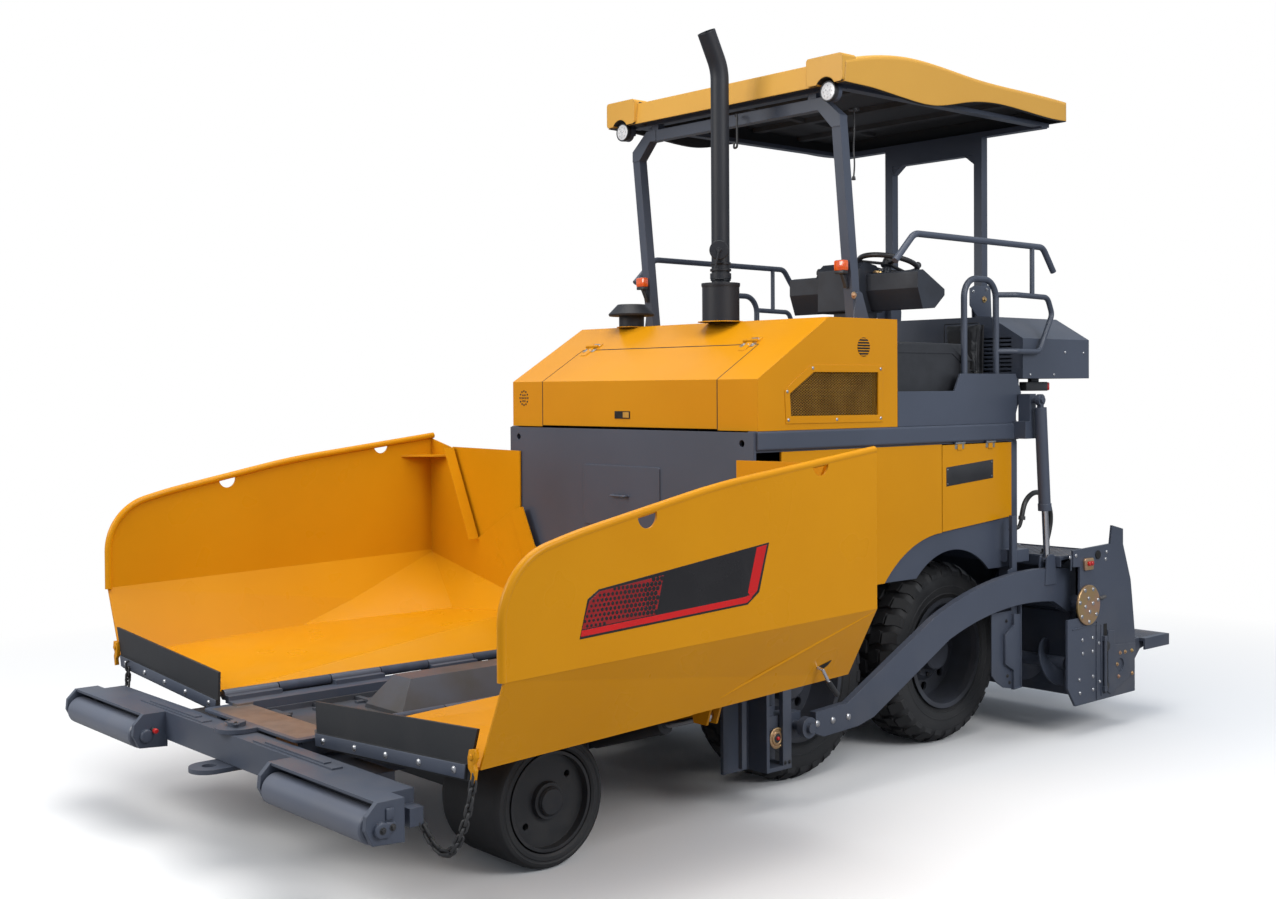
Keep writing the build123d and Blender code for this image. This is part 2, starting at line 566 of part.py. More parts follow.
def rear_tyre():
    """Pneumatic carcass: bulged walls, rounded shoulders and a nearly flat crown."""
    r, half = REAR_WHEEL["r"], REAR_WHEEL["width"] / 2
    return turned([(-half + 18, 300), (-half + 14, 325), (-half + 2, 370), (-half, 415), (-half + 8, 460),
                   (-half + 16, r - 22), (-half + 34, r), (half - 34, r), (half - 16, r - 22), (half - 8, 460),
                   (half, 415), (half - 2, 370), (half - 14, 325), (half - 18, 300)])


def rear_rim():
    """Deep-dished rim with eight hand holes and a hub cap."""
    bead = 300 - BEAD_GAP
    half = REAR_WHEEL["width"] / 2 - 15
    bore = HUB_R + FIT
    rim = turned([(-half - 3, bead), (half + 3, bead), (half + 3, bead + 16), (half + 11, bead + 18),
                  (half + 11, bead - 10), (half - 26, bead - 18), (-4, bead - 30), (-4, 180), (20, 150), (20, 112),
                  (92, 106), (100, 96), (100, 0), (60, 0), (60, bore), (-110, bore), (-110, 110), (4, 110),
                  (4, 142), (-20, 172), (-20, bead - 40), (-36, bead - 12), (-half - 11, bead - 12),
                  (-half - 11, bead + 18), (-half - 3, bead + 16)])
    for i in range(8):
        rim = rim - Rot(45 * i, 0, 0) * rod_x(214, 0, 26, (-80, 60))
    return rim


# ---------------------------------------------------------------- hopper wings
CREASE = dict(front=1010, rear=1062)             # z of the bend below the upright panel
FOOT = dict(front=(1620, 676), rear=(1600, 752))  # x and z where the slope meets the floor
RIM_RUN = [(WING_FRONT, 1005), (WING_FRONT, 1420), (-2250, 1510), (-1507, 1655), (WING_REAR, 1772)]
RIM_BENDS = [280, 2500, 4500]
EYELETS = ((-1902, 1562), (-897, 1722))          # y and z of the half-round lifting eyes
FACET_START = 0.52                   # where the corner facets leave the foot line
WING_EYE = (1250, 585)
WING_BASE = (440, 330)
WING_PIN = 20
CYLINDER_Y = -1090


def wing_side():
    """Upright panel with its rolled top rim and two half-round lifting eyes."""
    x = WING_X
    rim_path = FilletPolyline(*[(x, y, z) for y, z in RIM_RUN], radius=RIM_BENDS)
    closing = Polyline((x, WING_REAR, RIM_RUN[-1][1]), (x, WING_REAR, CREASE["rear"]), (x, *RIM_RUN[0]))
    panel = extrude(make_face(rim_path.edges() + closing.edges()), amount=SHEET, dir=(-1, 0, 0))
    for y, z in EYELETS:
        panel = panel - rod_x(y, z, 50, (x - 60, x + 10))
    rim = sweep(Plane(origin=rim_path @ 0, z_dir=rim_path % 0) * Circle(18), path=rim_path)
    return panel + Pos(-SHEET / 2 - 10, 0, 0) * rim


def wing_floor():
    """Sloped lower side, floor, and the facets that turn the mix away from the rear corner."""
    (x_front, z_front), (x_rear, z_rear) = FOOT["front"], FOOT["rear"]
    inside = WING_REAR - 8
    root_front, root_rear = (532, WING_FRONT, HINGE_Z - 4), (532, inside, HINGE_Z - 4)
    foot_front, foot_rear = (x_front, WING_FRONT, z_front), (x_rear, inside, z_rear)
    foot_middle = tuple(a + (b - a) * FACET_START for a, b in zip(foot_front, foot_rear))
    facet_middle = (foot_middle[0] - SHEET / 2, *foot_middle[1:])
    facet_top = (WING_X - SHEET / 2, inside, CREASE["rear"] - 4)
    facet_mid, facet_inner, wall_foot = (1299, -700, 762), (800, -706, 772), (534, inside, 790)
    lying = [(root_front, foot_front, foot_middle), (root_front, foot_middle, facet_mid),
             (root_front, facet_mid, facet_inner), (root_front, facet_inner, root_rear),
             (facet_top, facet_mid, facet_middle), (facet_top, wall_foot, facet_mid),
             (wall_foot, facet_inner, facet_mid)]
    top_front, top_rear = (WING_X, WING_FRONT, CREASE["front"]), (WING_X, WING_REAR, CREASE["rear"])
    low_front, low_rear = (x_front, WING_FRONT, z_front - 8), (x_rear, WING_REAR, z_rear - 8)
    standing = [(top_front, top_rear, low_rear), (top_front, low_rear, low_front)]
    shape = fuse(*[sheet(corners, (0, 0, -1)) for corners in lying])
    low_inner, low_root = (800, -706, 764), (532, inside, HINGE_Z - 12)
    shape = shape + Pos(-SHEET / 2, 0, 0) * sheet((wall_foot, low_root, low_inner), (1, 0, 0))
    return fuse(shape, *[sheet(corners, (-1, 0, 0)) for corners in standing])


def wing_rear():
    """Rear wall with its zigzag top, a flange on the long diagonal and a bolted wear strip."""
    x = WING_X
    y = (WING_REAR - 14, WING_REAR - 4)
    wall = plate_y(y, [(534, 616), (534, 965), (696, 1143), (932, 1347), (1274, 1162), (1530, 1700),
                       (x - 5, 1755), (x - 5, CREASE["rear"]), FOOT["rear"]])
    flange = sheet([(1274, -530, 1162), (1530, -530, 1700), (1530, -600, 1700), (1274, -600, 1162)], (-1, 0, 0))
    wear = plate_y((y[0] - 8, y[0]), [(818, 1379), (931, 1347), (794, 1068), (697, 1143)])
    corner = make_face(Polyline((x - 5, -760), (x - 5, -530), (1545, -530), close=True))
    gusset = Pos(0, 0, 1645) * extrude(corner, SHEET)
    return fuse(wall, flange, wear, gusset)


def hopper_wing():
    wing = fuse(wing_side(), wing_floor(), wing_rear())
    for y in knuckle_spans()[1::2]:
        leaf = block((HINGE_X, 560), y, (HINGE_Z - 8, HINGE_Z + 4))
        wing = wing + rod_y(HINGE_X, HINGE_Z, HINGE_TUBE, y) + leaf
    wing = wing - rod_y(HINGE_X, HINGE_Z, HINGE_PIN + FIT, (-2700, -400))
    for y in (CYLINDER_Y - 36, CYLINDER_Y + 24):
        wing = wing + plate_y((y, y + 12), [(1160, 725), (1350, 725), (1290, 550), (1210, 550)])
    return wing


def wing_flap():
    """Rubber apron of the wing's front edge, clamped by a steel strip."""
    rubber = plate_y((-2605, -2593), [(460, 548), (450, 741), (1620, 818), (1550, 615)])
    strip = plate_y((-2613, -2605), [(462, 555), (460, 612), (1560, 680), (1548, 622)])
    return rubber + strip


# ---------------------------------------------------------------- cylinders
def cylinder_pair(base, eye, bore_r, rod_r, wall, barrel_length, base_pin_r, eye_r, width, piston_at):
    """Barrel and rod made along +X from the base pin, whose axis is local Y.

    base and eye are two coordinates in the plane that the cylinder swings in. piston_at is
    the piston's distance from the base pin at rest.
    """
    length = hypot(eye[0] - base[0], eye[1] - base[1])
    outer = bore_r + wall
    start = base_pin_r + 26
    floor, mouth = start + 36, start + barrel_length - 34
    lie = Rot(0, 90, 0)
    tube = Pos(start + barrel_length / 2, 0, 0) * lie * Cylinder(outer, barrel_length)
    gland = Pos(start + barrel_length - 20, 0, 0) * lie * Cylinder(outer + 4, 40)
    port = Pos(start + barrel_length - 60, 0, outer) * Cylinder(9, 24)
    hollow = Pos((floor + mouth) / 2, 0, 0) * lie * Cylinder(bore_r, mouth - floor)
    throat = Pos(start + barrel_length, 0, 0) * lie * Cylinder(rod_r + FIT, 200)
    lug = Rot(90, 0, 0) * Cylinder(base_pin_r + 16, width) + Pos(start / 2, 0, 0) * Box(start, width, 30)
    pin_bore = Rot(90, 0, 0) * Cylinder(base_pin_r + FIT, width + 10)
    barrel = fuse(tube, gland, port, lug) - hollow - throat - pin_bore
    rod = Pos((piston_at + length) / 2, 0, 0) * lie * Cylinder(rod_r, length - piston_at)
    piston = Pos(piston_at + 15, 0, 0) * lie * Cylinder(bore_r - FIT, 30)
    eye_disc = Pos(length, 0, 0) * Rot(90, 0, 0) * Cylinder(eye_r, width)
    return barrel, fuse(rod, piston, eye_disc)


def wing_cylinder():
    angle = degrees(atan2(WING_EYE[1] - WING_BASE[1], WING_EYE[0] - WING_BASE[0]))
    barrel, rod = cylinder_pair(WING_BASE, WING_EYE, 34, 22, 8, 520, WING_PIN, 32, 40, 286)
    place = Pos(WING_BASE[0], CYLINDER_Y, WING_BASE[1]) * Rot(0, -angle, 0)
    return place * barrel, place * rod


def lift_cylinder():
    drop = degrees(atan2(LIFT_EYE[0] - LIFT_TOP[0], LIFT_TOP[1] - LIFT_EYE[1]))
    barrel, rod = cylinder_pair(LIFT_TOP, LIFT_EYE, 28, 19, 7, 600, LIFT_PIN, 26, 26, 420)
    place = Pos(LIFT_X, *LIFT_TOP) * Rot(drop, 0, 0) * Rot(0, 0, 90) * Rot(0, 90, 0)
    return place * barrel, place * rod


# ---------------------------------------------------------------- push rollers
def push_beam():
    """Swinging beam that carries two rollers between end plates under a cover strip."""
    bar = block((-1330, 1330), (-2800, -2690), BEAM_Z)
    end = [(-2790, 400), (-2790, 565), (-2905, 565), (-2950, 520), (-2955, 470), (-2925, 410)]
    half = plate_x((598, 624), end) + plate_x((1396, 1420), end)
    half = half + block((598, 1420), (-2905, -2790), (553, 565))
    half = half + rod_x(ROLLER_Y, ROLLER_Z, ROLLER_PIN, (600, 1418))
    half = half + block((1325, 1420), (-2830, -2790), BEAM_Z) + block((1325, 1400), (-2755, -2695), (440, 510))
    half = half + block((240, 900), (-2788, -2740), (565, 572)) + block((330, 820), (-2778, -2745), (572, 579))
    nut = rod_x(ROLLER_Y, ROLLER_Z, 30, (1420, 1432)) + rod_x(ROLLER_Y, ROLLER_Z, 30, (586, 598))
    beam = bar + both_sides(half + nut)
    return beam - rod_z(0, BEAM_PIVOT_Y, BEAM_PIN + FIT, (300, 600))


def push_roller():
    r = ROLLER_R
    profile = [(634, ROLLER_PIN + FIT), (634, r - 12), (638, r - 4), (646, r), (1374, r), (1382, r - 4), (1386, r - 12),
               (1386, ROLLER_PIN + FIT)]
    return Pos(0, ROLLER_Y, ROLLER_Z) * turned(profile)


# ---------------------------------------------------------------- tow arms, screed, augers
def tow_guides():
    """Guides on the frame in which the tow points slide, with their wear discs and pivots."""
    web = block((940, 960), (-690, -330), (190, 660))
    cross = block((FRAME_HALF, 940), (-570, -500), (440, 520))
    front = block((960, 1085), (-520, -500), (190, 660)) + block((1060, 1085), (-690, -660), (240, 640))
    rear = block((1060, 1085), (-405, -345), (195, 660))
    ends = block((960, 1085), (-520, -345), (640, 660)) + block((960, 1085), (-520, -345), (190, 210))
    top = block((960, 1085), (-690, -500), (628, 640))
    slider = block((960, 1050), (-480, -240), (320, 450)) + block((985, 1040), (-455, -425), (445, 500))
    screw = rod_z(1012, -440, 12, (480, 660))
    disc = rod_x(-430, 350, 45, (1050, 1064)) + rod_x(-430, 350, 22, (1060, 1070))
    pin = rod_x(TOW_Y, TOW_Z, TOW_PIN, (1050, 1165))
    return both_sides(fuse(web, cross, front, rear, ends, top, slider, screw, disc, pin))


def tow_arms():
    """Long swan-necked arms from the tow points to the screed, with ears for the lift rods."""
    arm = curved_plate_x(ARM_X, [(-233, 349), (-233, 455), (8, 468), (711, 818)],
                         ((711, 818), (1220, 962), (1794, 995)),
                         [(1794, 995), (2020, 978), (2020, 724), (1991, 724), (1845, 798)],
                         ((1845, 798), (1400, 806), (850, 690)),
                         [(850, 690), (211, 367), (92, 339), (-174, 326), (-233, 349)])
    arm = arm + rod_x(TOW_Y, TOW_Z, 52, ARM_X)
    ear = [(1750, 900), (1765, 1060), (1790, 1076), (1828, 1076), (1850, 1060), (1860, 900)]
    for x in ((1098, 1106), (1144, 1152)):
        arm = arm + plate_x(x, ear)
    return both_sides(arm - rod_x(TOW_Y, TOW_Z, TOW_PIN + FIT, (1000, 1200)))


SCREED_FRONT, SCREED_REAR = 2125, 2330
AUGER_STUB, AUGER_SHAFT = 20, 36     # radii
FLIGHT_SPAN = (80, 1130)
FLIGHT_TURNS = 4


def screed_frame():
    """Fixed middle screed: a box girder with the sole plate, bushings and the tread cover."""
    outline = [(SCREED_FRONT, 260), (2155, 195), (SCREED_REAR, 195), (SCREED_REAR, 1040), (SCREED_FRONT, 1040)]
    hollow = [(2137, 264), (2162, 215), (2318, 215), (2318, 1028), (2137, 1028)]
    box = plate_x((-1105, 1105), outline) - plate_x((-1110, 1110), hollow)
    sole = plate_x((1105, SCREED_HALF), [(SCREED_FRONT, 260), (2155, 195), (SCREED_REAR, 195), (SCREED_REAR, 260)])
    y, z, r = SCREED_TUBE
    bracket = plate_x((1085, 1105), [(1950, 740), (1950, 985), (2125, 1040), (2125, 712), (2040, 712)])
    inner = plate_x((580, 600), [(2010, 740), (2010, 850), (2125, 950), (2125, 712), (2040, 712)])
    bushings = (bracket + inner) - rod_x(y, z, r + FIT, (500, 1200))
    cover = block((-1180, 1180), (1860, SCREED_REAR), (1040, 1056))
    apron = block((-1180, 1180), (1860, 1868), (1000, 1042))
    moldboard = block((-1080, 1080), (2113, SCREED_FRONT), (250, 700))
    return fuse(box, cover, apron, moldboard) + both_sides(sole + bushings)


def end_gate():
    """Side plate of the screed with its raised rear fin, adjuster bracket and clamp disc."""
    plate = plate_x(END_PLATE_X, [(1820, 303), (1900, 192), (2552, 195), (2552, 557), (2521, 780), (2505, 880),
                                  (2420, 1100), (2420, 1192), (2300, 1220), (2280, 1112), (1880, 1100),
                                  (1880, 1004), (1950, 1000), (1950, 700), (1820, 700)])
    face = END_PLATE_X[1]
    y, z, _ = SCREED_TUBE
    disc = rod_x(y - 20, z, 118, (face, face + 10))
    bracket = plate_x((face, face + 8), [(2240, 600), (2310, 590), (2310, 505), (2545, 488), (2548, 424), (2515, 376),
                                         (2500, 300), (2270, 215), (2240, 230)])
    bracket = bracket - rod_x(2372, 375, 42, (face - 30, face + 20))
    rib = plate_x((face, face + 6), [(2120, 200), (2132, 200), (2132, 690), (2120, 690)])
    adjuster = rod_z(face + 12, 2200, 10, (260, 560)) + block((face, face + 20), (2185, 2215), (540, 570))
    adjuster = adjuster + block((face, face + 20), (2185, 2215), (240, 270))
    return fuse(plate, disc, bracket, rib, adjuster)


def screed_extension():
    """Sliding screed half with its end gate, telescopic tube and walkway."""
    outline = [(2345, 195), (2545, 195), (2545, 620), (2345, 620)]
    hollow = [(2357, 215), (2533, 215), (2533, 608), (2357, 608)]
    box = plate_x((15, 1238), outline) - plate_x((0, 1230), hollow)
    y, z, r = SCREED_TUBE
    tube = rod_x(y, z, r, (20, END_PLATE_X[0]))
    walkway = block((15, 1253), (2671, 2960), (480, 500)) + block((15, 1253), (2948, 2960), (440, 482))
    walkway = walkway + block((1241, 1253), (2671, 2960), (430, 482))
    shape = fuse(box, end_gate(), tube, walkway)
    for x in ((40, 52), (620, 632), (1200, 1212)):
        shape = shape + plate_x(x, [(2540, 300), (2540, 520), (2600, 500), (2680, 500), (2900, 480), (2680, 430)])
    return shape


def auger_frame():
    """Column behind the tunnel that carries the auger drive in the middle."""
    column = block((-50, 50), (BODY_REAR, 1720), (560, 1100))
    arm = block((-50, 50), (1720, 2010), (560, 620))
    gearbox = rounded(block((-50, 50), (1915, 2015), (420, 570)), Axis.X, 12) + rod_x(AUGER_Y, AUGER_Z, 80, (-50, 50))
    stub = rod_x(AUGER_Y, AUGER_Z, AUGER_STUB, (-200, 200))
    return fuse(column, arm, gearbox, stub)


def auger():
    """Shaft with a helical flight; the path climbs along X and a bar is swept round it."""
    length = FLIGHT_SPAN[1] - FLIGHT_SPAN[0]
    middle, depth = (AUGER_R + AUGER_SHAFT) / 2, AUGER_R - AUGER_SHAFT + 6
    path = Helix(pitch=length / FLIGHT_TURNS, height=length, radius=middle)
    profile = Plane(origin=path @ 0, z_dir=path % 0, x_dir=(1, 0, 0)) * Rectangle(depth, 12)
    flight = sweep(profile, path=path, is_frenet=True)
    flight = Pos(FLIGHT_SPAN[0], AUGER_Y, AUGER_Z) * Rot(0, 90, 0) * flight
    shaft = rod_x(AUGER_Y, AUGER_Z, AUGER_SHAFT + 2, (56, 1150))
    return shaft + flight - rod_x(AUGER_Y, AUGER_Z, AUGER_STUB + FIT, (40, 203))


# ---------------------------------------------------------------- hydraulic hoses
HOSE_R = 15
HOSE_ROUTE = [(1020, 1708, 1290), (1020, 1722, 1352), (1019, 1768, 1402), (1017, 1836, 1430), (1014, 1908, 1424),
              (1010, 1974, 1388), (1006, 2018, 1330), (1002, 2036, 1258), (998, 2024, 1188), (996, 1996, 1122),
              (995, 1985, 1060)]


def hose_bends(route):
    """Largest arc at each inner point: 0.45 of the shorter run over the tangent of half the turn."""
    bends = []
    for before, here, after in zip(route, route[1:], route[2:]):
        run_in, run_out = Vector(*here) - Vector(*before), Vector(*after) - Vector(*here)
        half_turn = radians(run_in.get_angle(run_out)) / 2
        bends.append(0.45 * min(run_in.length, run_out.length) / tan(half_turn))
    return bends


def screed_hoses():
    bends = hose_bends(HOSE_ROUTE)
    print("hose bend radii", [round(bend) for bend in bends])
    return both_sides(pipe(HOSE_ROUTE, HOSE_R, bends))


# ---------------------------------------------------------------- doors
def side_door():
    """Yellow service door, hinged at its top edge by two leaves."""
    door = plate_x((978, BODY_HALF), [(996, 1250), (996, 1730), (1650, 1730), (1650, 1300)])
    for y in DOOR_HINGE_YS:
        span = (y - 20, y + 20)
        door = door + rod_y(DOOR_AXIS_X, DOOR_AXIS_Z, DOOR_TUBE, span) + block((BODY_HALF - 1, 995), span, (1700, 1738))
        door = door - rod_y(DOOR_AXIS_X, DOOR_AXIS_Z, DOOR_PIN + FIT, (y - 60, y + 60))
    return door


# ---------------------------------------------------------------- write every node
SINGLE = {"main_frame": main_frame, "bulkhead": bulkhead, "body_panels": body_panels, "hood": hood,
          "hood_door": hood_door, "engine_block": engine_block, "platform": platform, "console": console,
          "steering_wheel": steering_wheel, "seats": seats, "seat_cushions": seat_cushions,
          "handrails": handrails, "rear_cabinet": rear_cabinet, "canopy_roof": canopy_roof,
          "canopy_frame": canopy_frame, "exhaust_stack": exhaust_stack, "air_intake": air_intake,
          "conveyor": conveyor, "axles": axles, "push_beam": push_beam, "tow_guides": tow_guides,
          "tow_arms": tow_arms, "screed_frame": screed_frame, "auger_frame": auger_frame,
          "screed_hoses": screed_hoses}
for name, build in SINGLE.items():
    save(name, build())

wing_barrel, wing_rod = wing_cylinder()
lift_barrel, lift_rod = lift_cylinder()
PAIRED = {"hopper_wing": hopper_wing(), "wing_flap": wing_flap(), "wing_barrel": wing_barrel,
          "wing_rod": wing_rod, "knuckle": knuckle(), "push_roller": push_roller(), "side_door": side_door(),
          "screed_extension": screed_extension(), "lift_barrel": lift_barrel, "lift_rod": lift_rod,
          "auger": auger()}
front_at = Pos(FRONT_WHEEL["x"], FRONT_WHEEL["y"], FRONT_WHEEL["r"])
PAIRED["front_tyre"] = front_at * front_tyre()
PAIRED["front_rim"] = front_at * front_rim()
for row, y in REAR_WHEEL_YS.items():
    place = Pos(REAR_WHEEL["x"], y, REAR_WHEEL["r"])
    PAIRED[row + "_tyre"] = place * rear_tyre()
    PAIRED[row + "_rim"] = place * rear_rim()
for name, left in PAIRED.items():
    save(name + "_left", left)
    save(name + "_right", mirror_x(left))
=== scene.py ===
# %% [markdown]
# # A wheeled asphalt paver
# The machine has a folding hopper in front, a six-wheeled tractor in the middle and a floating
# screed behind. Its plates, tubes and wheels arrive finished from the CAD model. This file adds
# what a paint shop and a fitter add: finishes, fasteners, tread, grilles, chains, lamps and
# cushions. The first cell imports the CAD model and bakes each part's placement into its mesh.

# %% Load the frame
import math

import bmesh
import bpy
from mathutils import Matrix, Vector


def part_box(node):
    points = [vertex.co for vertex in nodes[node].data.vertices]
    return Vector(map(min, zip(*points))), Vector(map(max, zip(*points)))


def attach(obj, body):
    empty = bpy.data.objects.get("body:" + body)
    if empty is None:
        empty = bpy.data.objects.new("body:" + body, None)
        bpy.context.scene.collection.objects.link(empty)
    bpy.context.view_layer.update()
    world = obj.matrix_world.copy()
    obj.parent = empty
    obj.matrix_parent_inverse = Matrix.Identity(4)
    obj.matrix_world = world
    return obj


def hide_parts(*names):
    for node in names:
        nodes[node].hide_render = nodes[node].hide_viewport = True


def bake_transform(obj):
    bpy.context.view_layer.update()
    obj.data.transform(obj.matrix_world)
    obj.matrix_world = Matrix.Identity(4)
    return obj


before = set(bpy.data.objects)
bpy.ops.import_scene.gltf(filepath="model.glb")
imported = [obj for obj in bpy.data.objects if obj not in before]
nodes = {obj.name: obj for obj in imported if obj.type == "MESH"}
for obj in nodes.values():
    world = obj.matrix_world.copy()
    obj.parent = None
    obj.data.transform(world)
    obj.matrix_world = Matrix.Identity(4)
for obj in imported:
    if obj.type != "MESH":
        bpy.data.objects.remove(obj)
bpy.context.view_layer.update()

# %% [markdown]
# ## Camera
# The viewer stands at the machine's front left corner, eyes about two metres above the ground.
# A camera can be aimed with a constraint, but a written rotation is exact and never drifts, so
# the three axes are worked out from a heading, a dip and a small roll. The lens is a short
# telephoto, and the tiny lens shift frames the machine without tilting its upright edges.

# %% Camera
def linked(name, data):
    """A new object in the scene for some mesh, lamp or camera data."""
    thing = bpy.data.objects.new(name, data)
    bpy.context.scene.collection.objects.link(thing)
    return thing


HEADING = math.radians(48.52)
DIP = math.radians(0.88)
ROLL = math.radians(-0.352)

forward = Vector((-math.sin(HEADING) * math.cos(DIP), math.cos(HEADING) * math.cos(DIP), -math.sin(DIP)))
level_right = forward.cross(Vector((0, 0, 1))).normalized()
level_up = level_right.cross(forward)
right = math.cos(ROLL) * level_right + math.sin(ROLL) * level_up
up = math.cos(ROLL) * level_up - math.sin(ROLL) * level_right

camera_data = bpy.data.cameras.new("camera")
camera_data.lens = 42.38
camera_data.sensor_width = 36
camera_data.shift_x = 0.0032
camera_data.shift_y = -0.0292
camera_data.clip_end = 200
camera = linked("camera", camera_data)
turned = Matrix((right, up, -forward)).transposed().to_4x4()
camera.matrix_world = Matrix.Translation((6.079, -5.778, 2.051)) @ turned
bpy.context.scene.camera = camera
print("camera at", tuple(round(v, 2) for v in camera.matrix_world.translation))

# %% [markdown]
# ## Wiring nodes
# Floor, lamps' surround, finishes and the trees that repeat a piece are all made of nodes. Each node
# takes the same four steps: make it, set it, fill its inputs, take an output. Written out, they hide
# the idea, so one helper does all four, and a tree then reads like a recipe.

# %% Node helpers
def plug(tree, socket, value):
    """Link a node's output to a socket, or write a plain value on it."""
    if isinstance(value, bpy.types.NodeSocket):
        tree.links.new(value, socket)
    else:
        socket.default_value = value


def add(tree, kind, inputs, output=0, **settings):
    """Add a node and fill its inputs by name or number; a list of links all go into one input."""
    node = tree.nodes.new(kind)
    for label, value in settings.items():
        setattr(node, label, value)
    for label, value in inputs.items():
        for one in value if isinstance(value, list) else [value]:
            plug(tree, node.inputs[label], one)
    return node.outputs[output]


def node_material(name):
    """An empty node material, its node tree and its shader."""
    material = bpy.data.materials.new(name)
    material.use_nodes = True
    return material, material.node_tree, material.node_tree.nodes["Principled BSDF"]


print("node helpers ready")

# %% [markdown]
# ## Floor and light
# A studio is a pale floor that melts into a white surround. The floor keeps the machine's soft
# shadow near the wheels and turns to plain white further out, where only the camera looks at it.
# To every other ray it is a mid grey, as a yard is, so that it doesn't light undersides like snow.
# Light comes from the pale world all round and from three large area lamps, because big sources
# give painted sheet metal the broad, soft highlights that show its bends.

# %% Floor and light
HALF = 60
SHADOW_END, WHITE_START = 3.2, 7.0
FLOOR_LIT, FLOOR_SEEN = (0.30, 0.30, 0.31, 1), (0.88, 0.88, 0.88, 1)
floor_mesh = bpy.data.meshes.new("floor")
floor_mesh.from_pydata([(-HALF, -HALF, 0), (HALF, -HALF, 0), (HALF, HALF, 0), (-HALF, HALF, 0)], [], [(0, 1, 2, 3)])
floor = linked("floor", floor_mesh)
floor_paint, tree, shader = node_material("floor_white")
shader.inputs["Roughness"].default_value = 0.9
seen = add(tree, "ShaderNodeLightPath", {}, "Is Camera Ray")
shade = add(tree, "ShaderNodeMix", {0: seen, 6: FLOOR_LIT, 7: FLOOR_SEEN}, 2, data_type="RGBA")
plug(tree, shader.inputs["Base Color"], shade)
place = add(tree, "ShaderNodeTexCoord", {}, "Object")
away = add(tree, "ShaderNodeVectorMath", {0: place}, "Value", operation="LENGTH")
fade = add(tree, "ShaderNodeMapRange", {"Value": away, "From Min": SHADOW_END, "From Max": WHITE_START}, "Result")
fade = add(tree, "ShaderNodeMath", {0: fade, 1: seen}, operation="MULTIPLY")
white = add(tree, "ShaderNodeEmission", {})
mixed = add(tree, "ShaderNodeMixShader", {0: fade, 1: shader.outputs["BSDF"], 2: white})
plug(tree, tree.nodes["Material Output"].inputs["Surface"], mixed)
floor_mesh.materials.append(floor_paint)

world = bpy.data.worlds.new("studio")
bpy.context.scene.world = world
world.use_nodes = True
tree = world.node_tree
studio = tree.nodes["Background"]
studio.inputs["Color"].default_value = (0.80, 0.88, 1.0, 1)
studio.inputs["Strength"].default_value = 0.62
seen = add(tree, "ShaderNodeLightPath", {}, "Is Camera Ray")
backdrop = add(tree, "ShaderNodeBackground", {"Color": (1, 1, 1, 1)})
mixed = add(tree, "ShaderNodeMixShader", {0: seen, 1: studio.outputs["Background"], 2: backdrop})
plug(tree, tree.nodes["World Output"].inputs["Surface"], mixed)


def area_lamp(name, place, size, power, colour=(1, 1, 1)):
    """A square lamp aimed at the middle of the machine."""
    data = bpy.data.lights.new(name, "AREA")
    data.size = size
    data.energy = power
    data.color = colour
    lamp = linked(name, data)
    lamp.location = place
    lamp.rotation_euler = (MIDDLE - Vector(place)).to_track_quat("-Z", "Y").to_euler()


MIDDLE = Vector((0, 0, 1.4))
WARM = (1, 0.97, 0.92)
area_lamp("overhead", (0.5, -1.0, 8.5), 7.0, 560, WARM)
area_lamp("front_key", (-3.0, -9.0, 5.5), 4.0, 420, WARM)
area_lamp("side_fill", (9.0, 0.0, 6.0), 4.0, 430)
bpy.context.scene.view_settings.view_transform = "Standard"

# %% [markdown]
# ## Mixing finishes in nodes
# Every finish here is built from the same few steps: a soft cloud that varies the colour, a fine
# grain that dents the surface, and a highlight along edges. A finish could be painted on an
# unwrapped map, but the plates come without maps, so the patterns are taken from the object's own
# coordinates in metres. That keeps their scale right on every plate and holds them still when the
# plate moves. The Bevel node rounds the look of an edge without changing the plate.

# %% Pattern helpers
def noise(tree, coords, scale, detail=3.0):
    return add(tree, "ShaderNodeTexNoise", {"Vector": coords, "Scale": scale, "Detail": detail}, "Fac")


def ramp(tree, value, low, high, start=0.0, end=1.0):
    """Stretch a value so that low gives start and high gives end."""
    return add(tree, "ShaderNodeMapRange", {"Value": value, "From Min": low, "From Max": high, "To Min": start,
                                            "To Max": end}, "Result")


def calculate(tree, kind, a, b=0.0):
    return add(tree, "ShaderNodeMath", {0: a, 1: b}, operation=kind)


def mixed_colour(tree, factor, a, b):
    a, b = (c if isinstance(c, bpy.types.NodeSocket) else (*c, 1) for c in (a, b))
    return add(tree, "ShaderNodeMix", {0: factor, 6: a, 7: b}, 2, data_type="RGBA")


def mixed_value(tree, factor, a, b):
    return add(tree, "ShaderNodeMix", {0: factor, 2: a, 3: b})


def apart(tree, vector):
    """The three coordinates of a vector."""
    return add(tree, "ShaderNodeSeparateXYZ", {0: vector}).node.outputs[:3]


def folded_place(tree):
    """Object coordinates, plain and with x made positive, so that one rule serves both sides."""
    place = add(tree, "ShaderNodeTexCoord", {}, "Object")
    x, y, z = apart(tree, place)
    return place, add(tree, "ShaderNodeCombineXYZ", {0: calculate(tree, "ABSOLUTE", x), 1: y, 2: z})


